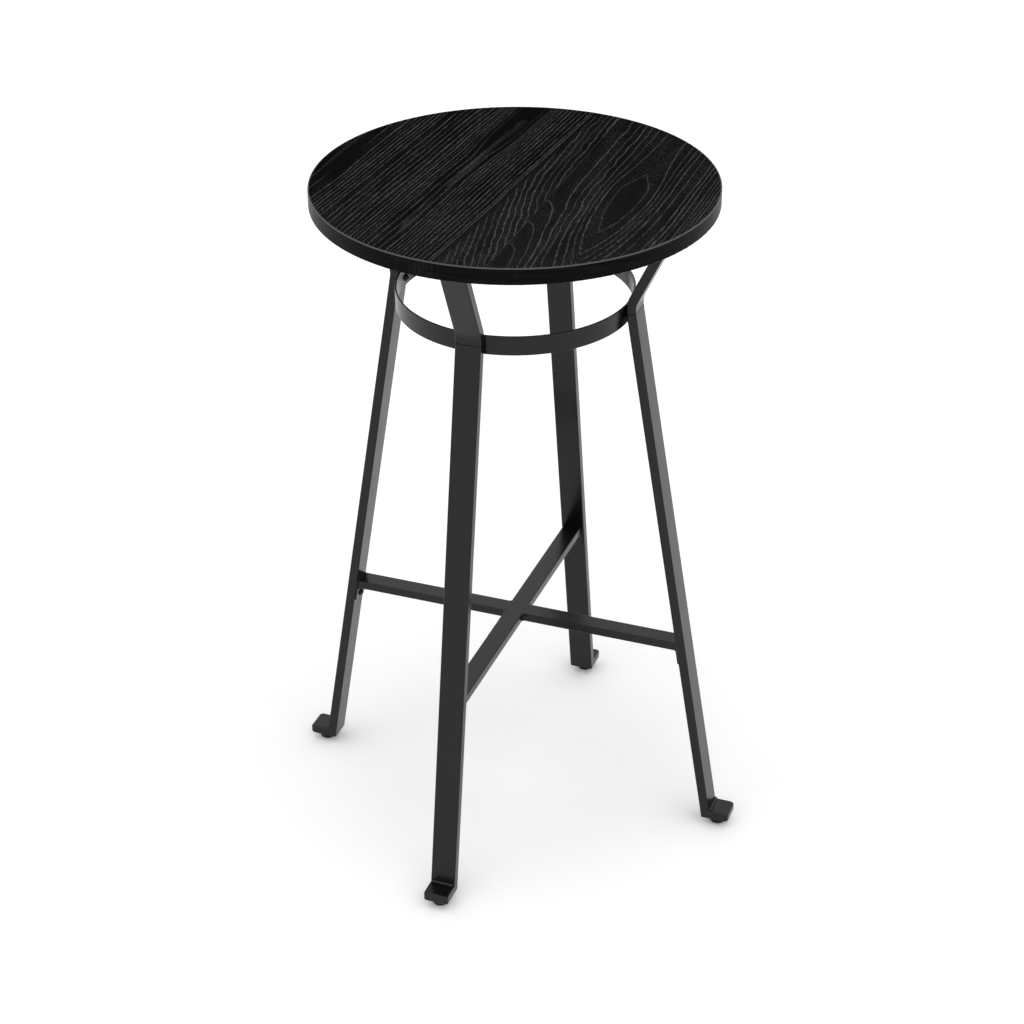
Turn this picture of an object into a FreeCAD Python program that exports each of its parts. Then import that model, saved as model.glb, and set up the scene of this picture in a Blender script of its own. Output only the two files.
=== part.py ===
"""Round bar-height pub table: laminated top, four bent tube legs, waist ring and cross brace.

Millimetres, +Z up, floor at z = 0, origin on the floor under the centre of the top.  The legs
stand on the X and Y axes.  Pieces of a leg are drawn in a radial frame, with X pointing outwards
from the table's axis, and turned about Z to their own azimuth.
"""
import FreeCAD, Part
import math
import os

import Sketcher
from FreeCAD import Placement, Rotation, Vector

DIMENSIONS = (
    ("table_height", "1073.5", "floor to the top surface"),
    ("top_diameter", "604", "over the edge band"),
    ("top_thickness", "25", "veneer, core and backer together"),
    ("veneer_thickness", "0.6", "wear sheet on the top face"),
    ("backer_thickness", "0.6", "sheet on the underside"),
    ("band_thickness", "2", "edge band, radially"),
    ("band_edge_radius", "1.2", "rounding of the band's two rims"),
    ("glue_line", "0.05", "between the band and the disc inside it"),
    ("tube_width", "40", "leg and toe tube, across"),
    ("tube_depth", "15", "leg and toe tube, radially or upright"),
    ("tube_wall", "1.5", "wall of the tube"),
    ("tube_radius", "2", "outer corner radius of the tube"),
    ("seam_bevel", "0.5", "bevel on both tube ends at the butt seam"),
    ("toe_clearance", "13.5", "floor to the underside of a toe"),
    ("heel_reach", "338.5", "axis to where the leg's outer face meets the toe's top"),
    ("waist_reach", "194", "axis to the corner of the leg's outer face, before its bend"),
    ("kink_drop", "139", "underside of the top down to that corner"),
    ("leg_top_inset", "41.7", "edge of the top to the leg's outer face at its underside"),
    ("bend_radius", "33", "radius of the bend on the outer face"),
    ("plate_thickness", "4", "mounting plate under the top"),
    ("plate_length", "64", "mounting plate, radially"),
    ("plate_width", "90", "mounting plate, across"),
    ("plate_radius", "8", "corner radius of the mounting plate"),
    ("screw_diameter", "4.5", "wood screw shank"),
    ("screw_head", "9", "wood screw head diameter"),
    ("screw_head_height", "2.6", "wood screw head height"),
    ("screw_bite", "15", "wood screw length inside the top"),
    ("screw_inset", "10", "screw centre to the edges of its plate"),
    ("screw_clearance", "0.5", "on the diameter of the holes in a plate"),
    ("pilot_clearance", "0.1", "on the diameter of the holes in the top"),
    ("ring_height", "30", "waist ring, upright"),
    ("ring_thickness", "3", "waist ring, radially"),
    ("ring_edge_radius", "0.6", "rounding of the ring's edges"),
    ("ring_drop", "24", "centre of the bend down to the ring's lower edge"),
    ("ring_seat_gap", "0.2", "ring to the leg's innermost line"),
    ("ring_bolt_rise", "12", "ring's lower edge up to its bolts"),
    ("bolt_diameter", "6", "ring and brace bolts"),
    ("bolt_head", "12", "diameter of the bolt heads"),
    ("bolt_head_height", "4", "height of the bolt heads"),
    ("bolt_socket", "4", "hexagon socket, across flats"),
    ("bolt_socket_depth", "2.2", "depth of that socket"),
    ("bolt_tail", "1.5", "bolt past the end of its bush"),
    ("bolt_clearance", "0.6", "on the diameter of plain bolt holes"),
    ("bush_diameter", "9", "threaded bush in a leg wall"),
    ("bush_length", "8", "length of a threaded bush"),
    ("thread_clearance", "0.1", "on the diameter inside a nut or bush"),
    ("bush_clearance", "0.1", "on the diameter of the hole for a bush or nut"),
    ("washer_width", "14", "taper washer, across"),
    ("washer_height", "11", "taper washer, upright"),
    ("brace_height", "337.5", "floor to the top of the brace bars"),
    ("brace_width", "30", "brace bar, across"),
    ("brace_depth", "14", "brace bar, upright"),
    ("brace_wall", "1.5", "wall of the brace bar"),
    ("brace_radius", "1.5", "outer corner radius of the brace bar"),
    ("tab_width", "34", "brace tab, across"),
    ("tab_thickness", "2.5", "brace tab"),
    ("tab_drop", "24", "brace bar's underside down to the end of a tab"),
    ("tab_radius", "3", "corner radius of a tab"),
    ("tab_bolt_drop", "16", "brace bar's underside down to a tab's bolt"),
    ("weld_leg", "3", "fillet bead at the crossing of the brace"),
    ("toe_weld_leg", "3", "fillet bead where a leg meets its toe"),
    ("toe_length", "32", "heel to the end of the toe's plug, along its top"),
    ("plug_flange", "5", "plug outside the tube"),
    ("plug_radius", "4.5", "rounding of the plug's upright corners"),
    ("plug_rim_radius", "3.8", "rounding of the plug's upper and lower rims"),
    ("plug_depth", "8", "plug inside the tube"),
    ("plug_clearance", "0.2", "plug to the inside of the tube, all round"),
    ("glide_inset", "22", "end of the toe's plug to the centre of its glide"),
    ("pad_diameter", "25", "glide pad"),
    ("pad_edge_radius", "4", "rounding under the pad"),
    ("pad_rim_height", "6.5", "floor to where the pad starts to taper"),
    ("pad_collar", "14", "diameter of the pad's collar"),
    ("pad_shoulder_height", "10.5", "floor to the foot of the collar"),
    ("pad_gap", "0.3", "collar to the underside of the toe, screwed right in"),
    ("pad_floor", "3", "floor to the stud's head inside the pad"),
    ("stud_diameter", "8", "glide stud"),
    ("stud_head", "13", "diameter of the stud's head inside the pad"),
    ("stud_head_height", "3.2", "height of that head"),
    ("stud_bevel", "0.8", "bevel on the stud's upper end"),
    ("stud_end_gap", "0.7", "stud's upper end to the toe's top wall"),
    ("swivel_gap", "0.05", "pad to stud, radially and above and below the head"),
    ("nut_width", "13", "weld nut, across flats"),
    ("nut_height", "6.5", "weld nut inside the toe"),
    ("nut_collar", "10.5", "diameter of the nut's collar in the toe's wall"),
)

# Values that follow from the driving dimensions.  Angles are plain numbers of degrees.
DERIVED = (
    ("underside", "table_height - top_thickness"),
    ("kink_height", "underside - kink_drop"),
    ("toe_top", "toe_clearance + tube_depth"),
    ("leg_top_reach", "top_diameter / 2 - leg_top_inset"),
    ("toe_reach", "heel_reach + toe_length"),
    ("glide_reach", "toe_reach - glide_inset"),
    ("lower_lean", "atan((heel_reach - waist_reach) / (kink_height - toe_top)) / 1 deg"),
    ("upper_lean", "atan((leg_top_reach - waist_reach) / kink_drop) / 1 deg"),
    ("half_bend", "(lower_lean + upper_lean) / 2"),
    ("bend_tangent", "bend_radius * tan(half_bend)"),
    ("lower_length", "(kink_height - toe_top) / cos(lower_lean) - bend_tangent"),
    ("bend_reach", "waist_reach + bend_radius / cos(half_bend) * cos((lower_lean - upper_lean) / 2)"),
    ("bend_height", "kink_height + bend_radius / cos(half_bend) * sin((lower_lean - upper_lean) / 2)"),
    ("mitre_setback", "tube_depth / tan(45 + lower_lean / 2)"),
    ("core_radius", "top_diameter / 2 - band_thickness - glue_line"),
    ("ring_radius", "bend_reach - bend_radius - tube_depth - ring_seat_gap"),
    ("ring_bottom", "bend_height - ring_drop"),
    ("ring_bolt_height", "ring_bottom + ring_bolt_rise"),
    ("brace_bottom", "brace_height - brace_depth"),
    ("tab_top", "(brace_height - toe_top + tube_depth * sin(lower_lean)) / cos(lower_lean)"),
    ("tab_bottom", "tab_top - (brace_depth + tab_drop) / cos(lower_lean)"),
    ("tab_bolt", "tab_top - (brace_depth + tab_bolt_drop) / cos(lower_lean)"),
    ("tube_end", "toe_reach - plug_flange"),
    ("stud_top", "toe_top - tube_wall - stud_end_gap"),
)

ALIASES = {row[0] for row in DIMENSIONS + DERIVED}

AZIMUTHS = {"front": -90.0, "right": 0.0, "back": 90.0, "left": 180.0}

doc = FreeCAD.newDocument("pub_table")
sheet = doc.addObject("Spreadsheet::Sheet", "sizes")
parts = []


def fill_sheet():
    """Write the driving dimensions and what follows from them, one aliased row each."""
    rows = list(DIMENSIONS) + [(alias, "=" + formula, "derived") for alias, formula in DERIVED]
    for row, (alias, content, note) in enumerate(rows, start=1):
        sheet.set(f"A{row}", alias)
        sheet.set(f"B{row}", content)
        sheet.setAlias(f"B{row}", alias)
        sheet.set(f"C{row}", note)
    doc.recompute()


def value(expression):
    """Return an expression over the sheet's aliases as a plain number."""
    result = sheet.evalExpression(bound(expression))
    return float(getattr(result, "Value", result))


def bound(expression):
    """Return an expression with each alias written as a reference to the sheet."""
    words = []
    word = ""
    for letter in expression + " ":
        if letter.isalnum() or letter in "_.":
            word += letter
            continue
        words.append("sizes." + word if word in ALIASES else word)
        words.append(letter)
        word = ""
    return "".join(words).strip()


# Points of the radial frame, as pairs of expressions (reach, height).

def lower_point(along, depth):
    """Return a point of the lower leg: along its outer face from the heel, and depth inwards."""
    reach = f"heel_reach - ({along}) * sin(lower_lean) - ({depth}) * cos(lower_lean)"
    height = f"toe_top + ({along}) * cos(lower_lean) - ({depth}) * sin(lower_lean)"
    return reach, height


def bend_point(radius, lean):
    """Return a point of the bend: radius from its centre, where the tube leans by lean degrees."""
    return f"bend_reach - ({radius}) * cos({lean})", f"bend_height - ({radius}) * sin({lean})"


def upper_point(height, depth):
    """Return the point of the upper leg at a height, on a face that lies depth inside the outer one."""
    slope = "tan(upper_lean)"
    reach = f"leg_top_reach - (underside - ({height})) * {slope} - ({depth}) / cos(upper_lean)"
    return reach, height


def inner_face(height):
    """Return the reach of the lower leg's inner face at a height."""
    return f"heel_reach - ({height} - toe_top) * tan(lower_lean) - tube_depth / cos(lower_lean)"


# Small steps of modelling, shared by all sub-parts.

def new_body(label, azimuth=0.0):
    """Add a body with a label and a turn about the table's axis."""
    body = doc.addObject("PartDesign::Body", label)
    body.Label = label
    body.Placement = Placement(Vector(0, 0, 0), Rotation(Vector(0, 0, 1), azimuth))
    return body


def new_sketch(body, role="XZ_Plane"):
    """Add a sketch on one of the body's own origin planes."""
    sketch = body.newObject("Sketcher::SketchObject", body.Label + "_sketch")
    plane = next(item for item in body.Origin.OriginFeatures if item.Role == role)
    sketch.AttachmentSupport = [(plane, "")]
    sketch.MapMode = "FlatFace"
    return sketch


def pin_point(sketch, geometry, vertex, point):
    """Hold a vertex of a sketch at a pair of expressions."""
    for axis, expression in zip(("DistanceX", "DistanceY"), point):
        constraint = Sketcher.Constraint(axis, -1, 1, geometry, vertex, value(expression))
        index = sketch.addConstraint(constraint)
        sketch.setExpression(f"Constraints[{index}]", bound(expression))


def start_vertex(curve, point):
    """Return 1 if a sketch curve starts at a point, else 2."""
    return 1 if curve.StartPoint.distanceToPoint(point) < 1e-6 else 2


def short_arc(start, end, centre):
    """Return the counter-clockwise arc that joins two points round a centre the short way."""
    middle = Vector(value(centre[0]), value(centre[1]), 0)
    if (start - middle).cross(end - middle).z < 0:
        start, end = end, start
    angles = [math.atan2(point.y - middle.y, point.x - middle.x) for point in (start, end)]
    circle = Part.Circle(middle, Vector(0, 0, 1), middle.distanceToPoint(start))
    return Part.ArcOfCircle(circle, *angles)


def draw_outline(sketch, corners, arcs=None):
    """Draw a closed outline through corners; arcs maps a corner to (centre, radius) of its curve."""
    arcs = arcs or {}
    points = [Vector(value(x), value(y), 0) for x, y in corners]
    count = len(points)
    first = sketch.GeometryCount
    for index, point in enumerate(points):
        following = points[(index + 1) % count]
        if index in arcs:
            curve = short_arc(point, following, arcs[index][0])
        else:
            curve = Part.LineSegment(point, following)
        sketch.addGeometry(curve, False)
    for index in range(count):
        here, following = first + index, first + (index + 1) % count
        meeting = points[(index + 1) % count]
        end = 3 - start_vertex(sketch.Geometry[here], points[index])
        start = start_vertex(sketch.Geometry[following], meeting)
        sketch.addConstraint(Sketcher.Constraint("Coincident", here, end, following, start))
    for index, corner in enumerate(corners):
        here = first + index
        pin_point(sketch, here, start_vertex(sketch.Geometry[here], points[index]), corner)
    for index, (_, radius) in arcs.items():
        constraint = Sketcher.Constraint("Radius", first + index, value(radius))
        number = sketch.addConstraint(constraint)
        sketch.setExpression(f"Constraints[{number}]", bound(radius))


def draw_circle(sketch, centre, diameter):
    """Draw a circle whose centre and diameter are expressions."""
    position = Vector(value(centre[0]), value(centre[1]), 0)
    circle = sketch.addGeometry(Part.Circle(position, Vector(0, 0, 1), value(diameter) / 2), False)
    index = sketch.addConstraint(Sketcher.Constraint("Diameter", circle, value(diameter)))
    sketch.setExpression(f"Constraints[{index}]", bound(diameter))
    pin_point(sketch, circle, 3, centre)


def box_corners(low, high):
    """Return the four corners of a rectangle between two pairs of expressions."""
    return [low, (high[0], low[1]), high, (low[0], high[1])]


def extrude(body, kind, sketch, length, symmetric=True, reverse=False):
    """Add a Pad or Pocket of a sketch to a body."""
    feature = body.newObject("PartDesign::" + kind, body.Label + "_" + kind.lower())
    feature.Profile = sketch
    if symmetric:
        feature.SideType = "Symmetric"
    feature.Reversed = reverse
    feature.setExpression("Length", bound(length))
    sketch.Visibility = False
    doc.recompute()


def turn(body, kind, sketch, axis):
    """Add a Revolution or Groove of a sketch about one of its own axes."""
    feature = body.newObject("PartDesign::" + kind, body.Label + "_" + kind.lower())
    feature.Profile = sketch
    feature.ReferenceAxis = (sketch, [axis])
    feature.Angle = 360
    sketch.Visibility = False
    doc.recompute()


def draw_axis(sketch, start, end):
    """Draw a construction line to turn about and return its name; it is the sketch's only one."""
    points = [Vector(value(x), value(y), 0) for x, y in (start, end)]
    line = sketch.addGeometry(Part.LineSegment(*points), True)
    pin_point(sketch, line, 1, start)
    pin_point(sketch, line, 2, end)
    return "Axis0"


def dress(body, kind, test, size):
    """Add a Fillet or Chamfer on those edges of the body's last feature that pass a test."""
    base = body.Tip
    edges = edges_where(base.Shape, test)
    feature = body.newObject("PartDesign::" + kind, f"{body.Label}_{kind.lower()}")
    feature.Base = (base, edges)
    feature.setExpression("Radius" if kind == "Fillet" else "Size", bound(size))
    doc.recompute()


def edges_where(shape, test):
    """Return the names of the edges that pass a test."""
    return [f"Edge{index}" for index, edge in enumerate(shape.Edges, start=1) if test(edge)]


def over_segments(corners, segments, half_width):
    """Return a test for the edges of a symmetric pad over the given segments of its outline."""
    points = [Vector(value(x), 0, value(y)) for x, y in corners]
    spans = [(points[index], points[(index + 1) % len(points)]) for index in segments]

    def test(edge):
        ends = [vertex.Point for vertex in edge.Vertexes]
        if len(ends) != 2 or any(abs(abs(end.y) - half_width) > 1e-4 for end in ends):
            return False
        flat = [Vector(end.x, 0, end.z) for end in ends]
        return any(
            flat[0].distanceToPoint(one) + flat[1].distanceToPoint(other) < 1e-4
            for span in spans
            for one, other in (span, span[::-1])
        )

    return test


def parallel_to(direction):
    """Return a test for straight edges along a direction."""
    def test(edge):
        if edge.Curve.TypeId != "Part::GeomLine" or edge.Length < 1e-6:
            return False
        return edge.Curve.Direction.cross(direction).Length < 1e-4
    return test


def keep(feature):
    """Put a finished sub-part on the list of those that are written."""
    parts.append(feature)


def group(label, master, placements):
    """Place copies of one body and keep them as one sub-part of separate solids."""
    copies = []
    for placement in placements:
        copy = doc.addObject("App::Link", label + "_copy")
        copy.LinkedObject = master
        copy.LinkTransform = False
        copy.Placement = placement
        copies.append(copy)
    compound = doc.addObject("Part::Compound", label)
    compound.Label = label
    compound.Links = copies
    doc.recompute()
    keep(compound)


def around(placement):
    """Return a placement of the radial frame turned to each of the four legs."""
    return [Placement(Vector(), Rotation(Vector(0, 0, 1), angle)).multiply(placement)
            for angle in AZIMUTHS.values()]


# The top.

def disc(label, bottom, height, radius):
    """Make a plain round sheet and return its body."""
    body = new_body(label)
    sketch = new_sketch(body)
    draw_outline(sketch, box_corners(("0", bottom), (radius, f"{bottom} + {height}")))
    turn(body, "Revolution", sketch, "V_Axis")
    return body


def screw_spots():
    """Return the centres of one plate's four wood screws in the radial frame."""
    along = "(plate_length / 2 - screw_inset)"
    across = "(plate_width / 2 - screw_inset)"
    middle = "leg_top_reach - tube_depth / cos(upper_lean) / 2"
    return [(f"{middle} {one} {along}", f"{other}{across}")
            for one in "+-" for other in ("1 * ", "-1 * ")]


def drill_screws(body, depth):
    """Sink the pilot holes of all wood screws into a disc from the underside of the top."""
    sketch = new_sketch(body, "XY_Plane")
    sketch.setExpression("AttachmentOffset.Base.z", bound("underside"))
    for spot in screw_spots():
        draw_circle(sketch, spot, "screw_diameter + pilot_clearance")
    extrude(body, "Pocket", sketch, depth, symmetric=False, reverse=True)
    pattern = body.newObject("PartDesign::PolarPattern", body.Label + "_pattern")
    pattern.Originals = [body.Group[-2]]
    axis = next(item for item in body.Origin.OriginFeatures if item.Role == "Z_Axis")
    pattern.Axis = (axis, [""])
    pattern.Angle = 360
    pattern.Occurrences = len(AZIMUTHS)
    body.Tip = pattern
    doc.recompute()


def make_top():
    """Make the core, its two face sheets and the edge band round them."""
    core = disc("top_core", "underside + backer_thickness",
                "(top_thickness - backer_thickness - veneer_thickness)", "core_radius")
    drill_screws(core, "screw_bite")
    keep(core)
    keep(disc("top_veneer", "table_height - veneer_thickness", "veneer_thickness", "core_radius"))
    backer = disc("bottom_backer", "underside", "backer_thickness", "core_radius")
    drill_screws(backer, "screw_bite")
    keep(backer)

    band = new_body("edge_band")
    sketch = new_sketch(band)
    outer = "top_diameter / 2"
    draw_outline(sketch, box_corners((f"{outer} - band_thickness", "underside"), (outer, "table_height")))
    turn(band, "Revolution", sketch, "V_Axis")
    radius = value(outer)

    def on_rim(edge):
        return edge.Curve.TypeId == "Part::GeomCircle" and abs(edge.Curve.Radius - radius) < 1e-6

    dress(band, "Fillet", on_rim, "band_edge_radius")
    keep(band)


# The legs.

def radial_hole(body, height, end, diameter):
    """Drill level and outwards from the table's axis at a height, up to a reach."""
    sketch = new_sketch(body)
    draw_outline(sketch, box_corners(("0", height), (end, f"{height} + ({diameter}) / 2")))
    turn(body, "Groove", sketch, draw_axis(sketch, ("0", height), (end, height)))


def square_hole(body, along, depths, diameter):
    """Drill square to the lower leg's face at a distance along it, between two depths."""
    sketch = new_sketch(body)
    near, far = depths
    corners = [lower_point(along, near), lower_point(along, far),
               lower_point(f"{along} + ({diameter}) / 2", far),
               lower_point(f"{along} + ({diameter}) / 2", near)]
    draw_outline(sketch, corners)
    turn(body, "Groove", sketch, draw_axis(sketch, lower_point(along, near), lower_point(along, far)))


def seam_rim():
    """Return a test for the outer rim of a leg tube on the plane of the butt seam."""
    reach, height = (value(expression) for expression in lower_point("lower_length", "0"))
    origin = Vector(reach, 0, height)
    lean = math.radians(value("lower_lean"))
    normal = Vector(-math.sin(lean), 0, math.cos(lean))
    inwards = Vector(-math.cos(lean), 0, -math.sin(lean))
    depth, half_width, wall = value("tube_depth"), value("tube_width / 2"), value("tube_wall / 2")

    def test(edge):
        for point in (vertex.Point for vertex in edge.Vertexes):
            if abs((point - origin).dot(normal)) > 1e-4:
                return False
        middle = edge.valueAt((edge.FirstParameter + edge.LastParameter) / 2) - origin
        inside = wall < middle.dot(inwards) < depth - wall
        return not (inside and abs(middle.y) < half_width - wall)

    return test


def tube(label, azimuth, corners, arcs, sides, void, void_arcs):
    """Make a hollow tube: its outline in the radial plane, long edges rounded, and its void."""
    body = new_body(label, azimuth)
    sketch = new_sketch(body)
    draw_outline(sketch, corners, arcs)
    extrude(body, "Pad", sketch, "tube_width")
    dress(body, "Fillet", over_segments(corners, sides, value("tube_width / 2")), "tube_radius")
    hollow = new_sketch(body)
    draw_outline(hollow, void, void_arcs)
    extrude(body, "Pocket", hollow, "tube_width - 2 * tube_wall")
    return body


def make_lower_leg(name, azimuth):
    """Make the straight tube from the mitre at the toe up to the butt seam under the bend."""
    corners = [lower_point("0", "0"), lower_point("lower_length", "0"),
               lower_point("lower_length", "tube_depth"), lower_point("-mitre_setback", "tube_depth")]
    past = "2 * tube_depth"
    void = [lower_point(f"-{past}", "tube_wall"), lower_point(f"lower_length + {past}", "tube_wall"),
            lower_point(f"lower_length + {past}", "tube_depth - tube_wall"),
            lower_point(f"-{past}", "tube_depth - tube_wall")]
    body = tube(f"leg_{name}_lower", azimuth, corners, None, (0, 2), void, None)
    dress(body, "Chamfer", seam_rim(), "seam_bevel")
    radial_hole(body, "ring_bolt_height", f"{inner_face('ring_bolt_height')} + tube_depth / 2",
                "bush_diameter + bush_clearance")
    square_hole(body, "tab_bolt", ("tube_depth / 2", "tube_depth + tube_wall"),
                "bush_diameter + bush_clearance")
    keep(body)


def make_upper_leg(name, azimuth):
    """Make the bent tube from the butt seam out to the mounting plate."""
    top = "underside - plate_thickness"
    inner_radius = "bend_radius + tube_depth"
    centre = ("bend_reach", "bend_height")
    corners = [bend_point("bend_radius", "lower_lean"), bend_point("bend_radius", "-upper_lean"),
               upper_point(top, "0"), upper_point(top, "tube_depth"),
               bend_point(inner_radius, "-upper_lean"), bend_point(inner_radius, "lower_lean")]
    arcs = {0: (centre, "bend_radius"), 4: (centre, inner_radius)}
    near, far = "bend_radius + tube_wall", "bend_radius + tube_depth - tube_wall"
    past = "tube_depth"
    above = f"underside + {past}"
    void = [lower_point(f"lower_length - {past}", "tube_wall"), bend_point(near, "lower_lean"),
            bend_point(near, "-upper_lean"), upper_point(above, "tube_wall"),
            upper_point(above, "tube_depth - tube_wall"), bend_point(far, "-upper_lean"),
            bend_point(far, "lower_lean"),
            lower_point(f"lower_length - {past}", "tube_depth - tube_wall")]
    void_arcs = {1: (centre, near), 5: (centre, far)}
    body = tube(f"leg_{name}_upper", azimuth, corners, arcs, (0, 1, 3, 4), void, void_arcs)
    dress(body, "Chamfer", seam_rim(), "seam_bevel")
    keep(body)


def make_top_plate(name, azimuth):
    """Make the mounting plate on the end of a leg, drilled for its wood screws."""
    body = new_body(f"leg_{name}_top_plate", azimuth)
    sketch = new_sketch(body, "XY_Plane")
    sketch.setExpression("AttachmentOffset.Base.z", bound("underside - plate_thickness"))
    middle = "leg_top_reach - tube_depth / cos(upper_lean) / 2"
    draw_outline(sketch, box_corners((f"{middle} - plate_length / 2", "-plate_width / 2"),
                                     (f"{middle} + plate_length / 2", "plate_width / 2")))
    extrude(body, "Pad", sketch, "plate_thickness", symmetric=False)
    dress(body, "Fillet", parallel_to(Vector(0, 0, 1)), "plate_radius")
    holes = new_sketch(body, "XY_Plane")
    holes.setExpression("AttachmentOffset.Base.z", bound("underside"))
    for spot in screw_spots():
        draw_circle(holes, spot, "screw_diameter + screw_clearance")
    extrude(body, "Pocket", holes, "plate_thickness", symmetric=False)
    keep(body)


def make_wood_screws():
    """Make the screws that hold the plates under the top, each with a domed head and a point."""
    body = new_body("wood_screw")
    sketch = new_sketch(body)
    head, shank = "screw_head / 2", "screw_diameter / 2"
    bite = "plate_thickness + screw_bite"
    corners = [("0", "-screw_head_height"), (f"{head} * 0.7", "-screw_head_height"), (head, "0"),
               (shank, "0"), (shank, f"{bite} - screw_diameter"), ("0", f"{bite} - screw_diameter / 4")]
    draw_outline(sketch, corners)
    turn(body, "Revolution", sketch, "V_Axis")
    height = value("underside - plate_thickness")
    spots = [Placement(Vector(value(x), value(y), height), Rotation()) for x, y in screw_spots()]
    group("top_wood_screws", body, [placement for spot in spots for placement in around(spot)])


# The waist ring.

def make_ring():
    """Make the upright flat-bar hoop with its four bolt holes."""
    body = new_body("ring_hoop")
    sketch = new_sketch(body)
    draw_outline(sketch, box_corners(("ring_radius - ring_thickness", "ring_bottom"),
                                     ("ring_radius", "ring_bottom + ring_height")))
    turn(body, "Revolution", sketch, "V_Axis")

    def is_rim(edge):
        return edge.Curve.TypeId == "Part::GeomCircle"

    dress(body, "Fillet", is_rim, "ring_edge_radius")
    for role in ("YZ_Plane", "XZ_Plane"):
        holes = new_sketch(body, role)
        draw_circle(holes, ("0", "ring_bolt_height"), "bolt_diameter + bolt_clearance")
        extrude(body, "Pocket", holes, "4 * ring_radius")
    keep(body)


def cap_bolt(label, length):
    """Return a round-headed bolt along +Z, its head below the origin, with a hexagon socket."""
    body = new_body(label)
    sketch = new_sketch(body)
    head, shank = "bolt_head / 2", "bolt_diameter / 2"
    crown = "bolt_head_height * 0.35"
    bevel = "bolt_diameter / 10"
    corners = [("0", "-bolt_head_height"), (f"{head} * 0.6", "-bolt_head_height"),
               (head, f"-{crown}"), (head, "0"), (shank, "0"), (shank, f"{length} - {bevel}"),
               (f"{shank} - {bevel}", length), ("0", length)]
    draw_outline(sketch, corners)
    turn(body, "Revolution", sketch, "V_Axis")
    socket = new_sketch(body, "XY_Plane")
    socket.setExpression("AttachmentOffset.Base.z", bound("-bolt_head_height"))
    draw_outline(socket, hexagon("bolt_socket"))
    extrude(body, "Pocket", socket, "bolt_socket_depth", symmetric=False, reverse=True)
    return body


def hexagon(across_flats):
    """Return the corners of a hexagon round the origin."""
    return [(f"{across_flats} / 2 / cos(30) * cos({angle})", f"{across_flats} / 2 / cos(30) * sin({angle})")
            for angle in range(0, 360, 60)]


def make_ring_fixings():
    """Make the ring's bolts, the taper washers behind it and the bushes in the legs."""
    seat = "sqrt((ring_radius - ring_thickness) ^ 2 - (bolt_head / 2) ^ 2)"
    face = inner_face("ring_bolt_height")
    outwards = Rotation(Vector(0, 1, 0), 90)
    bolt = cap_bolt("ring_bolt", f"({face} + bush_length + bolt_tail - {seat})")
    spot = Placement(Vector(value(seat), 0, value("ring_bolt_height")), outwards)
    group("ring_bolts", bolt, around(spot))

    washer = new_body("ring_taper_washer")
    sketch = new_sketch(washer)
    low, high = "ring_bolt_height - washer_height * 0.6", "ring_bolt_height + washer_height * 0.4"
    draw_outline(sketch, [("ring_radius", low), (inner_face(low), low),
                          (inner_face(high), high), ("ring_radius", high)])
    extrude(washer, "Pad", sketch, "washer_width")
    radial_hole(washer, "ring_bolt_height", f"{face} + tube_depth", "bolt_diameter + bolt_clearance")
    group("ring_taper_washers", washer, around(Placement()))

    bush = new_body("ring_bush")
    sketch = new_sketch(bush)
    start, end = f"{face} - bush_diameter * tan(lower_lean)", f"{face} + bush_length"
    edge = "ring_bolt_height + (bolt_diameter + thread_clearance) / 2"
    draw_outline(sketch, box_corners((start, edge), (end, "ring_bolt_height + bush_diameter / 2")))
    turn(bush, "Revolution", sketch,
         draw_axis(sketch, (start, "ring_bolt_height"), (end, "ring_bolt_height")))
    trim = new_sketch(bush)
    below, above = "ring_bolt_height - bush_diameter", "ring_bolt_height + bush_diameter"
    clear = f"{face} - bush_diameter"
    draw_outline(trim, [(inner_face(below), below), (inner_face(above), above),
                        (clear, above), (clear, below)])
    extrude(bush, "Pocket", trim, "2 * bush_diameter")
    group("ring_bushes", bush, around(Placement()))


# The brace.

def bar(label, azimuth, corners):
    """Make a brace bar from its outline, hollow, with its long edges rounded."""
    body = new_body(label, azimuth)
    sketch = new_sketch(body)
    draw_outline(sketch, corners)
    extrude(body, "Pad", sketch, "brace_width")
    dress(body, "Fillet", over_segments(corners, (0, 2), value("brace_width / 2")), "brace_radius")
    hollow = new_sketch(body)
    past = "heel_reach"
    low, high = "brace_bottom + brace_wall", "brace_height - brace_wall"
    draw_outline(hollow, box_corners((f"-{past}", low), (past, high)))
    extrude(body, "Pocket", hollow, "brace_width - 2 * brace_wall")
    keep(body)


def bar_end(height):
    """Return the reach of a bar's end, on the inner face of its tab."""
    return f"({inner_face(height)} - tab_thickness / cos(lower_lean))"


def make_brace():
    """Make the through bar from front to back and the two short bars that butt against it."""
    low, high = bar_end("brace_bottom"), bar_end("brace_height")
    bar("brace_long_bar", AZIMUTHS["back"],
        [(f"-{low}", "brace_bottom"), (low, "brace_bottom"),
         (high, "brace_height"), (f"-{high}", "brace_height")])
    for name in ("right", "left"):
        bar(f"brace_short_bar_{name}", AZIMUTHS[name],
            [("brace_width / 2", "brace_bottom"), (low, "brace_bottom"),
             (high, "brace_height"), ("brace_width / 2", "brace_height")])

    bead = new_body("brace_weld")
    sketch = new_sketch(bead, "XY_Plane")
    sketch.setExpression("AttachmentOffset.Base.z", bound("brace_bottom + brace_radius"))
    side = "brace_width / 2"
    draw_outline(sketch, [(side, side), (f"{side} + weld_leg", side), (side, f"{side} + weld_leg")])
    extrude(bead, "Pad", sketch, "brace_depth - 2 * brace_radius", symmetric=False)
    group("brace_welds", bead, around(Placement()))


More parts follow.
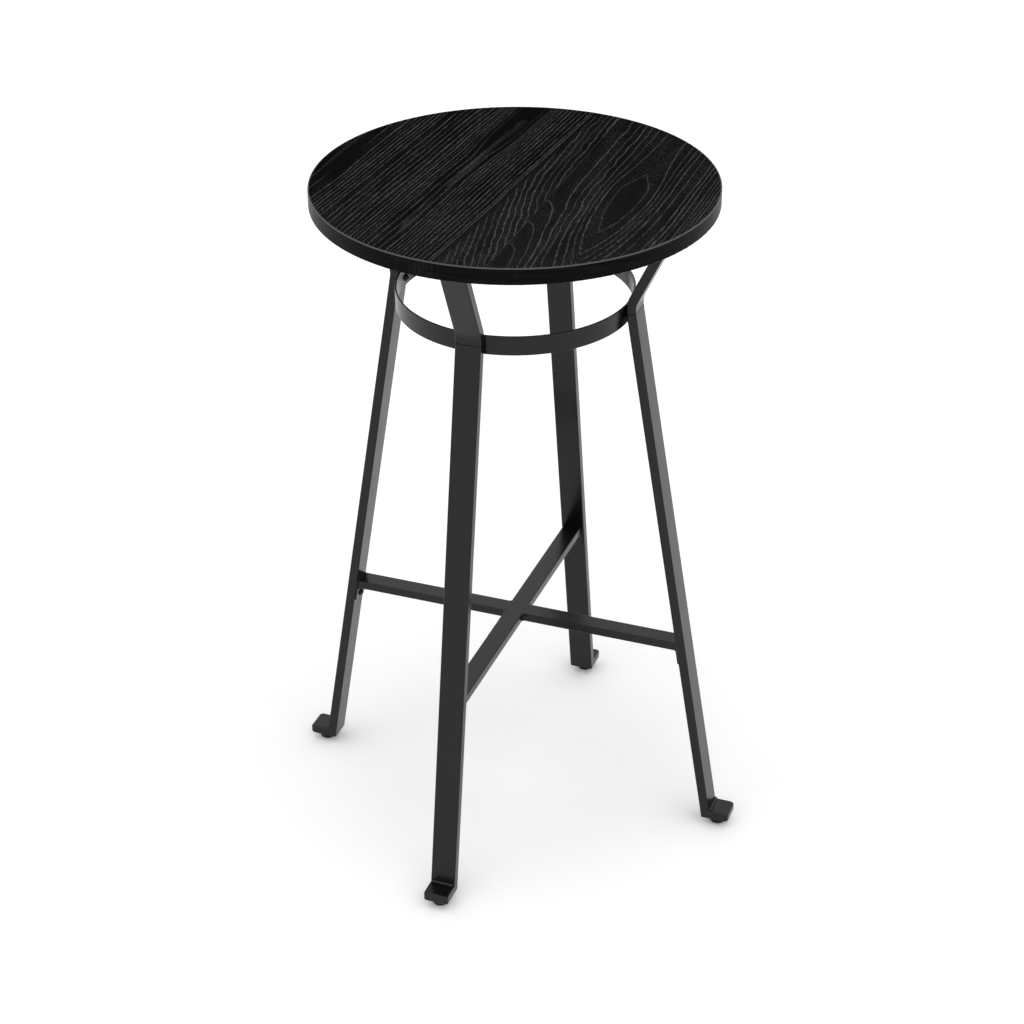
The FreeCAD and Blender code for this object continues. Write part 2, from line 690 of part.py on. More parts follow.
def make_tab(name, azimuth):
    """Make the plate that joins a bar's end to the inner face of its leg."""
    body = new_body(f"brace_tab_{name}", azimuth)
    sketch = new_sketch(body)
    outer, inner = "tube_depth", "tube_depth + tab_thickness"
    draw_outline(sketch, [lower_point("tab_bottom", outer), lower_point("tab_top", outer),
                          lower_point("tab_top", inner), lower_point("tab_bottom", inner)])
    extrude(body, "Pad", sketch, "tab_width")
    lean = math.radians(value("lower_lean"))
    through = Vector(math.cos(lean), 0, math.sin(lean))
    dress(body, "Fillet", parallel_to(through), "tab_radius")
    square_hole(body, "tab_bolt", ("0", "tube_depth + 2 * tab_thickness"),
                "bolt_diameter + bolt_clearance")
    keep(body)


def make_brace_fixings():
    """Make the tabs' bolts and the bushes in the legs, square to the legs' faces."""
    squarely = Rotation(Vector(0, 1, 0), 90 - value("lower_lean"))
    bolt = cap_bolt("brace_bolt", "tab_thickness + bush_length + bolt_tail")
    x, z = (value(part) for part in lower_point("tab_bolt", "tube_depth + tab_thickness"))
    group("brace_bolts", bolt, around(Placement(Vector(x, 0, z), squarely)))

    bush = new_body("brace_bush")
    sketch = new_sketch(bush)
    inner = "(bolt_diameter + thread_clearance) / 2"
    draw_outline(sketch, box_corners((inner, "0"), ("bush_diameter / 2", "bush_length")))
    turn(bush, "Revolution", sketch, "V_Axis")
    x, z = (value(part) for part in lower_point("tab_bolt", "tube_depth"))
    group("brace_bushes", bush, around(Placement(Vector(x, 0, z), squarely)))


# The feet.

def make_toe(name, azimuth):
    """Make the level tube at the foot of a leg, mitred to it and drilled for its glide."""
    corners = [lower_point("-mitre_setback", "tube_depth"), ("tube_end", "toe_clearance"),
               ("tube_end", "toe_top"), lower_point("0", "0")]
    low, high = "toe_clearance + tube_wall", "toe_top - tube_wall"
    void = box_corners(("heel_reach - 2 * tube_depth", low), ("toe_reach", high))
    body = tube(f"foot_{name}_toe", azimuth, corners, None, (0, 2), void, None)
    hole = new_sketch(body, "XY_Plane")
    draw_circle(hole, ("glide_reach", "0"), "nut_collar + bush_clearance")
    extrude(body, "Pocket", hole, "toe_clearance + 2 * tube_wall", symmetric=False, reverse=True)
    keep(body)


def make_plug(name, azimuth):
    """Make the plastic plug that closes the end of a toe."""
    body = new_body(f"foot_{name}_plug", azimuth)
    sketch = new_sketch(body)
    draw_outline(sketch, box_corners(("tube_end", "toe_clearance"), ("toe_reach", "toe_top")))
    extrude(body, "Pad", sketch, "tube_width")
    reach = value("toe_reach")
    upright = parallel_to(Vector(0, 0, 1))

    def outer_corner(edge):
        return upright(edge) and abs(edge.Vertexes[0].Point.x - reach) < 1e-6

    def rim(edge):
        flat = abs(edge.BoundBox.ZLength) < 1e-6
        return flat and edge.BoundBox.XMax > value("tube_end") + 1e-6

    dress(body, "Fillet", outer_corner, "plug_radius")
    dress(body, "Fillet", rim, "plug_rim_radius")
    inside = new_sketch(body)
    gap = "(tube_wall + plug_clearance)"
    draw_outline(inside, box_corners(("tube_end - plug_depth", f"toe_clearance + {gap}"),
                                     ("tube_end", f"toe_top - {gap}")))
    extrude(body, "Pad", inside, f"tube_width - 2 * {gap}")
    keep(body)


def make_stud(name, azimuth):
    """Make the glide's stud, with the round head that the pad holds."""
    body = new_body(f"glide_{name}_stud")
    sketch = new_sketch(body)
    head, shank = "stud_head / 2", "stud_diameter / 2"
    head_top = "pad_floor + stud_head_height"
    corners = [("0", "pad_floor"), (head, "pad_floor"), (head, head_top), (shank, head_top),
               (shank, "stud_top - stud_bevel"), (f"{shank} - stud_bevel", "stud_top"), ("0", "stud_top")]
    draw_outline(sketch, corners)
    turn(body, "Revolution", sketch, "V_Axis")
    body.Placement = glide_placement(azimuth)
    keep(body)


def make_pad(name, azimuth):
    """Make the round foot pad, closed over the stud's head."""
    body = new_body(f"glide_{name}_pad")
    sketch = new_sketch(body)
    rim, collar = "pad_diameter / 2", "pad_collar / 2"
    bore, cell = "stud_diameter / 2 + swivel_gap", "stud_head / 2 + swivel_gap"
    top = "toe_clearance - pad_gap"
    cell_floor, cell_top = "pad_floor - swivel_gap", "pad_floor + stud_head_height + swivel_gap"
    corners = [("0", "0"), (f"{rim} - pad_edge_radius", "0"), (rim, "pad_edge_radius"),
               (rim, "pad_rim_height"), (collar, "pad_shoulder_height"), (collar, top), (bore, top),
               (bore, cell_top), (cell, cell_top), (cell, cell_floor), ("0", cell_floor)]
    edge_centre = (f"{rim} - pad_edge_radius", "pad_edge_radius")
    draw_outline(sketch, corners, {1: (edge_centre, "pad_edge_radius")})
    turn(body, "Revolution", sketch, "V_Axis")
    body.Placement = glide_placement(azimuth)
    keep(body)


def glide_placement(azimuth):
    """Return the place of a glide's own axis under a toe."""
    return Placement(Vector(), Rotation(Vector(0, 0, 1), azimuth)).multiply(
        Placement(Vector(value("glide_reach"), 0, 0), Rotation()))


def make_glide_nuts():
    """Make the weld nuts: a hexagon inside the toe and a collar through its lower wall."""
    body = new_body("glide_nut")
    for outline, low, height in ((False, "toe_clearance", "tube_wall"),
                                 (True, "toe_clearance + tube_wall", "nut_height")):
        sketch = new_sketch(body, "XY_Plane")
        sketch.setExpression("AttachmentOffset.Base.z", bound(low))
        if outline:
            draw_outline(sketch, hexagon("nut_width"))
        else:
            draw_circle(sketch, ("0", "0"), "nut_collar")
        extrude(body, "Pad", sketch, height, symmetric=False)
    bore = new_sketch(body, "XY_Plane")
    draw_circle(bore, ("0", "0"), "stud_diameter + thread_clearance")
    extrude(body, "Pocket", bore, "2 * toe_top", symmetric=False, reverse=True)
    group("glide_nuts", body, [glide_placement(angle) for angle in AZIMUTHS.values()])


def make_toe_welds():
    """Make the bead along the inner corner between each leg and its toe."""
    body = new_body("toe_weld")
    sketch = new_sketch(body)
    draw_outline(sketch, [lower_point("0", "0"), ("heel_reach + toe_weld_leg", "toe_top"),
                          lower_point("toe_weld_leg", "0")])
    extrude(body, "Pad", sketch, "tube_width - 2 * tube_radius")
    group("toe_welds", body, around(Placement()))


def check_and_write():
    """Stop on a failed feature or shape, then write each sub-part to its own file."""
    doc.recompute()
    for item in doc.Objects:
        if {"Invalid", "Error"} & set(item.State):
            raise RuntimeError(f"{item.Name}: {item.State}")
    os.makedirs("parts", exist_ok=True)
    for part in parts:
        shape = part.Shape
        if shape.isNull() or not shape.isValid() or not shape.Solids:
            raise RuntimeError(f"{part.Label} has no valid solid")
        shape.exportStep(os.path.join("parts", part.Label + ".step"))
        print(f"{part.Label:24s} solids {len(shape.Solids):2d}  volume {shape.Volume:12.1f}")


def main():
    """Build every sub-part and write them."""
    fill_sheet()
    make_top()
    for name, azimuth in AZIMUTHS.items():
        make_lower_leg(name, azimuth)
        make_upper_leg(name, azimuth)
        make_top_plate(name, azimuth)
        make_toe(name, azimuth)
        make_plug(name, azimuth)
        make_tab(name, azimuth)
        make_stud(name, azimuth)
        make_pad(name, azimuth)
    make_wood_screws()
    make_ring()
    make_ring_fixings()
    make_brace()
    make_brace_fixings()
    make_glide_nuts()
    make_toe_welds()
    check_and_write()


main()
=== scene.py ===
"""Looks of a round bar table: deep-grained black top on a powder coated tube frame.

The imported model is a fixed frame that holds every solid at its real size.  This script dresses each
solid in its finish, puts turned, threaded and welded pieces in place of the plain solids that stand
for them, and sets the table on a pale floor in soft light.  Sizes are written in millimetres and
turned to metres where a mesh is made.  Each leg has a radial frame: X points out from the table's
axis, Y across the leg and Z up.
"""

import logging
import math
from dataclasses import dataclass
from enum import Enum
from typing import Any, Iterable, Sequence

import bmesh
import bpy
from mathutils import Matrix, Vector


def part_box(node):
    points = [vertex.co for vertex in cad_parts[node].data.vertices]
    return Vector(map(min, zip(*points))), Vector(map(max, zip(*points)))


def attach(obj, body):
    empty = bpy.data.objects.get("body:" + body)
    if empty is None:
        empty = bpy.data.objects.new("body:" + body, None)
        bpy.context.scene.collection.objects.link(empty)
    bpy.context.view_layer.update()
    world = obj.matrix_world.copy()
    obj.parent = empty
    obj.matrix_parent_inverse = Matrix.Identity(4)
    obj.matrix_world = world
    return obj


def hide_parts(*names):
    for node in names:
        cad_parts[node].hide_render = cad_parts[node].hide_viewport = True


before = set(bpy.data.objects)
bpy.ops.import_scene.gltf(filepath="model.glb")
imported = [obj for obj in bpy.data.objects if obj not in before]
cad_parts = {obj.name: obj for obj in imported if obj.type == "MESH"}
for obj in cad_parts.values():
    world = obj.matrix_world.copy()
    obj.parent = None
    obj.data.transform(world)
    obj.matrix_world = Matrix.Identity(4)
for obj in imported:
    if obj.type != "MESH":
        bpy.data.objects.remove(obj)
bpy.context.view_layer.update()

MM = 0.001
# Nearly all of a noise lies between these two values.
NOISE_SPAN = (0.3, 0.7)
Mesh = bpy.types.Mesh
Node = bpy.types.Node
Socket = bpy.types.NodeSocket
Tree = bpy.types.NodeTree
Point = Sequence[float]
Ramp = tuple[float, float, float]
log = logging.getLogger("bar_table")


class Leg(Enum):
    """The four legs, each with its turn about the table's axis in degrees."""

    FRONT = -90.0
    RIGHT = 0.0
    BACK = 90.0
    LEFT = 180.0

    @property
    def word(self) -> str:
        """Return the leg's name as the frame's nodes use it."""
        return self.name.lower()

    def turn(self, point: Point) -> Vector:
        """Return a point or direction of the leg's radial frame in the table's frame."""
        return Matrix.Rotation(math.radians(self.value), 3, "Z") @ Vector(point)


class Slot(Enum):
    """The record's material slots."""

    TOP_SHEET = "top_sheet"
    EDGE_BAND = "edge_band"
    CORE_BOARD = "core_board"
    BACKER_SHEET = "backer_sheet"
    POWDER_COAT = "powder_coat"
    BLACK_BOLT = "black_bolt"
    ZINC_STEEL = "zinc_steel"
    PLUG_PLASTIC = "plug_plastic"
    GLIDE_PLASTIC = "glide_plastic"


# Node trees and meshes.

def linear(colour: str) -> tuple[float, float, float, float]:
    """Turn an sRGB colour to linear light.

    Args:
        colour: six hexadecimal digits after a hash sign.

    Returns:
        Red, green, blue and full alpha.
    """
    parts = [int(colour[place:place + 2], 16) / 255 for place in (1, 3, 5)]
    light = [part / 12.92 if part <= 0.04045 else ((part + 0.055) / 1.055) ** 2.4 for part in parts]
    return (*light, 1.0)


def add(tree: Tree, kind: str, inputs: dict[Any, Any] | None = None, **settings: Any) -> Node:
    """Add a node with its settings and links.

    Args:
        tree: the shader or geometry tree.
        kind: Blender's type name of the node.
        inputs: for each input, by name or number, its value or the term, output or node that feeds it.
        settings: the node's own settings.

    Returns:
        The new node.
    """
    node = tree.nodes.new(kind)
    for name, setting in settings.items():
        setattr(node, name, setting)
    for place, source in (inputs or {}).items():
        if isinstance(source, Term):
            source = source.socket
        elif isinstance(source, Node):
            source = source.outputs[0]
        if isinstance(source, Socket):
            tree.links.new(source, node.inputs[place])
        else:
            node.inputs[place].default_value = source
    return node


@dataclass(frozen=True)
class Term:
    """A number that nodes work out, which joins sums as a plain number does."""

    socket: Socket

    def work(self, operation: str, *others: "Term | Socket | float") -> "Term":
        """Return the result of one operation on this term and others."""
        inputs = dict(enumerate((self, *others)))
        return Term(add(self.socket.id_data, "ShaderNodeMath", inputs, operation=operation).outputs[0])

    def __add__(self, other: "Term | float") -> "Term":
        """Return the sum with another term."""
        return self.work("ADD", other)

    def __sub__(self, other: "Term | float") -> "Term":
        """Return this term less another."""
        return self.work("SUBTRACT", other)

    def __mul__(self, other: "Term | float") -> "Term":
        """Return the product with another term."""
        return self.work("MULTIPLY", other)

    def __truediv__(self, other: "Term | float") -> "Term":
        """Return this term over another."""
        return self.work("DIVIDE", other)

    def at_least(self, low: "Term | float") -> "Term":
        """Return the larger of this term and a lower bound."""
        return self.work("MAXIMUM", low)

    def within(self, low: float, high: float) -> "Term":
        """Return this term held between two bounds."""
        return self.work("MAXIMUM", low).work("MINIMUM", high)

    def ramp(self, gain: float, level: float, least: float) -> "Term":
        """Return the term times a gain plus a level, but never less than the least."""
        return (self * gain + level).at_least(least)

    def squared(self) -> "Term":
        """Return the term times itself."""
        return self * self

    def decay(self) -> "Term":
        """Return 1 where the term is 0 and ever less where it is larger."""
        return (self * -1.0).work("EXPONENT")

    def rise(self, start: float, end: float) -> "Term":
        """Return 0 where the term is at start, 1 where it is at end and an even rise between them."""
        return ((self - start) / (end - start)).within(0.0, 1.0)

    def fade(self, start: float, end: float) -> "Term":
        """Return the same rise with soft ends."""
        share = self.rise(start, end)
        return share.squared() * (share * -2.0 + 3.0)

    def feed(self, node: Node, place: str) -> None:
        """Link the term to one of a node's inputs."""
        self.socket.id_data.links.new(self.socket, node.inputs[place])


def new_mesh(name: str, points: Iterable[Point], edges: Sequence = (), faces: Sequence = ()) -> Mesh:
    """Make a mesh from points in millimetres.

    Args:
        name: the mesh's name.
        points: its vertices.
        edges: pairs of vertex numbers.
        faces: rings of vertex numbers, counter-clockwise from outside.

    Returns:
        The mesh, in metres.
    """
    mesh = bpy.data.meshes.new(name)
    mesh.from_pydata([Vector(point) * MM for point in points], edges, faces)
    mesh.update()
    return mesh


def new_polyline(name: str, points: Sequence[Point], closed: bool = False) -> Mesh:
    """Make a mesh of edges.

    Args:
        name: the mesh's name.
        points: what it runs through, in millimetres.
        closed: whether it ends where it starts.

    Returns:
        The mesh, in metres.
    """
    count = len(points)
    edges = [(index, (index + 1) % count) for index in range(count if closed else count - 1)]
    return new_mesh(name, points, edges)


def join_meshes(name: str, meshes: Sequence[Mesh]) -> Mesh:
    """Put several meshes into one.

    Args:
        name: the new mesh's name.
        meshes: the parts, which are removed.

    Returns:
        The joined mesh.
    """
    joined = bmesh.new()
    for mesh in meshes:
        joined.from_mesh(mesh)
        bpy.data.meshes.remove(mesh)
    whole = bpy.data.meshes.new(name)
    joined.to_mesh(whole)
    joined.free()
    return whole


class Rule:
    """A geometry tree with named inputs that makes a mesh by a rule."""

    def __init__(self, name: str, **kinds: str) -> None:
        """Start the tree.

        Args:
            name: the tree's name.
            kinds: the type of each input by its name, such as Float, Int, Object or Material.
        """
        self.tree = bpy.data.node_groups.new(name, "GeometryNodeTree")
        self.tree.interface.new_socket("Geometry", in_out="INPUT", socket_type="NodeSocketGeometry")
        for word, kind in kinds.items():
            self.tree.interface.new_socket(word, in_out="INPUT", socket_type="NodeSocket" + kind)
        self.tree.interface.new_socket("Geometry", in_out="OUTPUT", socket_type="NodeSocketGeometry")
        self.given = add(self.tree, "NodeGroupInput").outputs

    def end(self, last: Node) -> None:
        """Close the tree with real geometry in the finish that it is given.

        Args:
            last: the node whose geometry the rule makes.
        """
        real = add(self.tree, "GeometryNodeRealizeInstances", {0: last})
        dressed = add(self.tree, "GeometryNodeSetMaterial",
                      {"Geometry": real, "Material": self.given["finish"]})
        add(self.tree, "NodeGroupOutput", {0: dressed})

    def make(self, start: Mesh, **inputs: Any) -> Mesh:
        """Run the tree on a mesh.

        Args:
            start: the mesh that the rule starts from.
            inputs: a value for each named input.

        Returns:
            The result as a plain mesh.
        """
        carrier = new_object("carrier", start)
        modifier = carrier.modifiers.new(self.tree.name, "NODES")
        modifier.node_group = self.tree
        for item in self.tree.interface.items_tree:
            if item.in_out == "INPUT" and item.name in inputs:
                modifier[item.identifier] = inputs[item.name]
        evaluated = carrier.evaluated_get(bpy.context.evaluated_depsgraph_get())
        mesh = bpy.data.meshes.new_from_object(evaluated)
        carrier.modifiers.remove(modifier)
        bpy.data.objects.remove(carrier)
        bpy.data.meshes.remove(start)
        return mesh


def new_object(name: str, data: bpy.types.ID | None) -> bpy.types.Object:
    """Make an object and link it to the scene.

    Args:
        name: the object's name.
        data: its mesh, lamp or camera, or none.

    Returns:
        The object.
    """
    made = bpy.data.objects.new(name, data)
    bpy.context.scene.collection.objects.link(made)
    return made


# Finishes.

@dataclass(frozen=True)
class Finish:
    """One procedural finish: the plain values of its shader, which a subclass breaks up."""

    name: str
    colour: str
    roughness: float
    metallic: float = 0.0
    ior: float = 1.5
    specular: float = 0.5

    def material(self) -> bpy.types.Material:
        """Make the finish's material on first use.

        Returns:
            The material, with its pattern.
        """
        if self.name in bpy.data.materials:
            return bpy.data.materials[self.name]
        material = bpy.data.materials.new(self.name)
        material.use_nodes = True
        tree = material.node_tree
        shader = tree.nodes["Principled BSDF"]
        shader.inputs["Base Color"].default_value = linear(self.colour)
        shader.inputs["Roughness"].default_value = self.roughness
        shader.inputs["Metallic"].default_value = self.metallic
        shader.inputs["Specular IOR Level"].default_value = self.specular
        if not self.metallic:
            shader.inputs["IOR"].default_value = self.ior
        place = add(tree, "ShaderNodeTexCoord")
        millimetres = add(tree, "ShaderNodeVectorMath", {0: place.outputs["Object"], "Scale": 1 / MM},
                          operation="SCALE")
        self.break_up(shader, millimetres.outputs[0])
        return material

    def break_up(self, shader: Node, place: Socket) -> None:
        """Add the finish's own pattern to its shader.

        Args:
            shader: the node whose inputs are fed.
            place: the position in millimetres.
        """


@dataclass(frozen=True)
class Noise:
    """Soft noise with cells of a real size along X, Y and Z; a shift makes one unlike another."""

    size: Point
    detail: float = 2.0
    shift: Point = (0.0, 0.0, 0.0)
    roughness: float = 0.5

    def at(self, place: Socket) -> Term:
        """Add the noise.

        Args:
            place: the position in millimetres.

        Returns:
            The noise, about 0.5 in the middle.
        """
        tree = place.id_data
        scaled = add(tree, "ShaderNodeVectorMath", {0: place, 1: tuple(1 / side for side in self.size),
                                                    2: self.shift}, operation="MULTIPLY_ADD")
        noise = add(tree, "ShaderNodeTexNoise", {"Vector": scaled, "Scale": 1.0,
                                                 "Detail": self.detail, "Roughness": self.roughness})
        return Term(noise.outputs[0])


def tint(shader: Node, share: Term, first: str, second: str) -> None:
    """Feed a shader's colour with a blend of two.

    Args:
        shader: the node whose Base Color input is fed.
        share: how much of the second colour shows, 0 to 1.
        first: the colour at 0, in sRGB hexadecimal.
        second: the colour at 1.
    """
    tree = shader.id_data
    blend = add(tree, "ShaderNodeMix", {0: share, 6: linear(first), 7: linear(second)}, data_type="RGBA")
    tree.links.new(blend.outputs[2], shader.inputs["Base Color"])


def emboss(shader: Node, heights: Sequence[tuple[Term, float]]) -> None:
    """Feed a shader's normal from height fields.

    Args:
        shader: the node whose Normal input is fed.
        heights: pairs of a height field and its full height in millimetres.
    """
    tree, below = shader.id_data, {}
    for height, depth in heights:
        inputs = {"Height": height, "Strength": 1.0, "Distance": depth * MM}
        below = {"Normal": add(tree, "ShaderNodeBump", inputs | below)}
    tree.links.new(below["Normal"].outputs[0], shader.inputs["Normal"])


@dataclass(frozen=True)
class PowderCoat(Finish):
    """Polyester powder baked on steel: satin black, with the soft waves of orange peel.

    The eye sees dark broad faces and clear pale reflections where a face is seen at a slant.
    """

    peel: Noise = Noise((2.4, 2.4, 2.4), 1.0)
    peel_depth: float = 0.006
    grit: Noise = Noise((0.7, 0.7, 0.7), 2.0, (7.0, 3.0, 5.0))
    grit_depth: float = 0.0016
    haze: Noise = Noise((60, 60, 60))
    gloss_step: float = 0.08
    gloss_least: float = -0.03

    def break_up(self, shader: Node, place: Socket) -> None:
        """Add the orange peel, its finer grit and a slow drift of the gloss.

        Args:
            shader: the node whose inputs are fed.
            place: the position in millimetres.
        """
        emboss(shader, ((self.peel.at(place), self.peel_depth), (self.grit.at(place), self.grit_depth)))
        gloss = self.haze.at(place).rise(*NOISE_SPAN) * self.gloss_step
        (gloss + self.roughness + self.gloss_least).feed(shader, "Roughness")


@dataclass(frozen=True)
class Lens:
    """A smooth lens in the straight grain, which pushes the lines on both sides away."""

    place: float
    width: float
    push: float
    start: float
    length: float


@dataclass(frozen=True)
class Spot:
    """A place across and along the sheet, how far it is past the joint, and the noises that move it."""

    x: Term
    y: Term
    beside: Term
    fibre: Term
    wander: Term


@dataclass(frozen=True)
class DeepGrain(Finish):
    """Black-stained wood sheet with brushed grain: matt dark ground and thin paler ridges of late wood.

    Two boards meet at a joint near the middle.  The left one is straight grained and parts round two
    smooth lenses, with a pale mottled stem in the inner one.  The right one starts with a bare strip,
    then has slanting lines and round arches that open to the front, and lines that part round a smooth
    pointed eye.  Clouds of open pores lie over both.  All lengths are in millimetres from the table's
    axis, X across the grain and Y along it.  Ridges and pores are drawn about twice as wide as they
    grow, so that they show.
    """

    ridge_colour: str = "#4c4c4c"
    ridge_core: float = 0.3
    ridge_reach: float = 1.25
    ridge_height: float = 0.12
    ridge_gloss: float = -0.16
    pore_height: float = 0.05
    probe: float = 0.5
    least_slope: float = 0.004

    # Noises, and how far those that move the lines move them.
    wave: Noise = Noise((70, 210, 900), 1.0)
    wave_reach: float = 8.0
    ripple: Noise = Noise((16, 60, 900), 1.0, (3.0, 1.0, 0.0))
    ripple_reach: float = 2.6
    wander: Noise = Noise((26, 42, 900), 1.0, (1.0, 7.0, 0.0))
    wander_reach: float = 9.0
    fibre: Noise = Noise((1.5, 40, 900), 1.0, (0.0, 9.0, 0.0))
    streak: Noise = Noise((1.1, 15, 900), 2.0, (5.0, 0.0, 0.0))
    bead: Noise = Noise((4.0, 5.0, 900), 1.0, (2.0, 6.0, 0.0))
    cloud: Noise = Noise((22, 120, 900), 2.0, (6.0, 2.0, 0.0))
    grit: Noise = Noise((1.3, 7.0, 900), 2.0, (4.0, 8.0, 0.0), 0.6)

    # Ramps that turn a noise or a smoothness into a share of the tone.
    strength_ramp: Ramp = (0.65, 0.45, 0.0)
    streak_ramp: Ramp = (1.8, 0.0, 0.0)
    bead_ramp: Ramp = (2.6, -0.4, 0.15)
    stem_ramp: Ramp = (1.8, -0.84, 0.0)
    pore_ramp: Ramp = (1.5, -0.68, 0.0)
    cloud_ramp: Ramp = (3.2, -1.05, 0.0)
    rough_ramp: Ramp = (-1.2, 1.0, 0.0)
    least_rough: float = 0.25

    # How much paler the right board is than the left, and the front of the sheet than the back.
    board_step: float = 0.06
    stain_level: float = -0.01
    stain_drift: float = -0.00016

    # The joint, and the bare strip beside it, where the smoothness fades out.
    joint_place: float = 4.0
    joint_lean: float = 0.055
    strip_end: tuple[float, float] = (14.0, 6.0)
    strip_smoothness: float = 0.8

    # Left board.
    rim_reach: float = 300.0
    left_fray: float = 2.6
    inner_lens: Lens = Lens(place=-87.0, width=22.0, push=19.0, start=75.0, length=90.0)
    rim_lens: Lens = Lens(place=-267.0, width=17.0, push=12.0, start=0.0, length=110.0)
    stem_place: float = -88.0
    stem_width: float = 6.5

    # Right board: how its lines fray, more so toward the front.
    right_fray: float = 5.0
    fray_ramp: Ramp = (-0.006, 0.35, 0.25)
    arch_fray: float = 0.7
    # Slanting lines, which turn upright toward the back.
    slant_spacing: float = 9.5
    slant: float = 0.12
    slant_end: float = 20.0
    slant_softness: float = 60.0
    slant_count: float = 50.2
    # Round arches, from the fault where they meet the slanting lines.
    fault_place: float = 66.0
    arch_spacing: float = 78.0
    arch_bend: float = 0.083
    arch_end: float = -20.0
    arch_count: float = 7.36
    arch_fade: tuple[float, float] = (112.0, 138.0)
    # The eye: its lines draw together below a level that drops across the board, and above its top.
    eye_place: float = 173.0
    pupil_width: float = 18.0
    eye_level: float = 25.0
    eye_drop: float = -35.0
    drop_place: float = 118.0
    drop_width: float = 22.0
    eye_taper: float = 0.33
    eye_top: float = 15.0
    top_length: float = 75.0
    top_close: float = 52.0
    top_spread: float = 2000.0

    # Distance from the left rim, and growth rings counted from there, on the left board.
    LEFT_RINGS = ((0, 0), (51, 3), (73, 6), (94, 9), (108, 10), (161, 16), (191, 21), (222, 24), (233, 25),
                  (256, 29), (307, 36), (400, 48))
    # Distance from the eye's axis, and growth rings counted from there, on the right board.
    RIGHT_RINGS = ((0, 0.5), (20, 1), (33, 2), (46, 4), (54, 5), (66, 6), (81, 7), (94, 9), (103, 10),
                   (128, 15), (300, 42))

    def ring_count(self, distance: Term, table: Sequence[Point]) -> Term:
        """Add a broken line from a distance across the grain to the number of growth rings passed.

        Args:
            distance: how far across the grain a place is.
            table: pairs of a distance and a count of rings.

        Returns:
            The count of rings.
        """
        reach, rings = table[-1]
        curve = add(distance.socket.id_data, "ShaderNodeFloatCurve", {"Value": distance / reach})
        line = curve.mapping.curves[0]
        line.points[0].location = (0.0, table[0][1] / rings)
        for place, count in table[1:-1]:
            line.points.new(place / reach, count / rings)
        for point in line.points:
            point.handle_type = "VECTOR"
        curve.mapping.update()
        return Term(curve.outputs[0]) * rings

    def growth(self, x: Term, y: Term, fibre: Term, wander: Term) -> tuple[Term, Term, Term]:
        """Count the growth rings at a place of the sheet.

        Args:
            x: place across the sheet.
            y: place along the sheet.
            fibre: noise that frays the lines.
            wander: noise that bends the lines beside the joint.

        Returns:
            The count of rings, the distance to the right of the joint, and how smooth the sheet is.
        """
        beside = x - y * self.joint_lean - self.joint_place
        right = beside.work("GREATER_THAN", 0.0)
        spot = Spot(x, y, beside, fibre, wander)
        left_rings, lenses = self.left_board(spot)
        right_rings, bare = self.right_board(spot)
        rings = left_rings + (right_rings - left_rings) * right
        return rings, beside, lenses + (bare - lenses) * right

    def left_board(self, spot: Spot) -> tuple[Term, Term]:
        """Lay out the straight-grained board, whose lines part round two lenses.

        Args:
            spot: a place of the sheet.

        Returns:
            The count of rings, and how smooth the sheet is.
        """
        lens, rim = self.inner_lens, self.rim_lens
        x, y = spot.x, spot.y
        upright = spot.beside + self.joint_place
        aside = (upright - lens.place) / lens.width
        opening = aside.squared().decay() * ((y - lens.start) / lens.length).within(0.0, 1.0)
        rim_aside = (x - rim.place) / rim.width
        rim_opening = (rim_aside.squared() + ((y - rim.start) / rim.length).squared()).decay()
        place = upright - opening * aside * lens.push - rim_opening * rim_aside * rim.push
        place = place + self.rim_reach + spot.fibre * self.left_fray
        return self.ring_count(place, self.LEFT_RINGS), opening.at_least(rim_opening)

    def right_board(self, spot: Spot) -> tuple[Term, Term]:
        """Lay out the slanting lines, the arches and the eye of the other board.

        Args:
            spot: a place of the sheet.

        Returns:
            The count of rings, and how smooth the sheet is.
        """
        x, y = spot.x, spot.y
        off_eye = (x - self.eye_place).work("ABSOLUTE")
        level = ((x - self.drop_place) / self.drop_width).work("TANH") * self.eye_drop + self.eye_level
        below = (level - y).at_least(0.0) * self.eye_taper
        above = ((y - self.eye_top).at_least(0.0) / self.top_length).work("TANH") * self.top_close
        along = below + above * (off_eye.squared() / self.top_spread).decay()
        # The lines run upright beside the eye and close over each of its ends in a parabola.
        out = ((off_eye.squared() + along.squared()).work("SQRT") + off_eye) * 0.5
        fray = spot.fibre * self.right_fray * y.ramp(*self.fray_ramp).work("MINIMUM", 1.0)
        out = out + fray
        eye = self.ring_count(out, self.RIGHT_RINGS)

        frayed = x + (spot.wander - 0.5) * self.wander_reach + fray * self.arch_fray
        past = y - self.slant_end
        turned = past - (past.squared() + self.slant_softness ** 2).work("SQRT")
        slanting = (frayed + turned * self.slant) / self.slant_spacing + self.slant_count
        arch = (frayed - self.fault_place).squared() * self.arch_bend + y.work("MINIMUM", self.arch_end)
        arches = arch / -self.arch_spacing + self.arch_count

        outer = arches + (eye - arches) * x.fade(*self.arch_fade)
        count = outer + (slanting - outer) * x.work("LESS_THAN", self.fault_place)
        strip = spot.beside.fade(*self.strip_end) * self.strip_smoothness
        return count, out.work("LESS_THAN", self.pupil_width).at_least(strip)

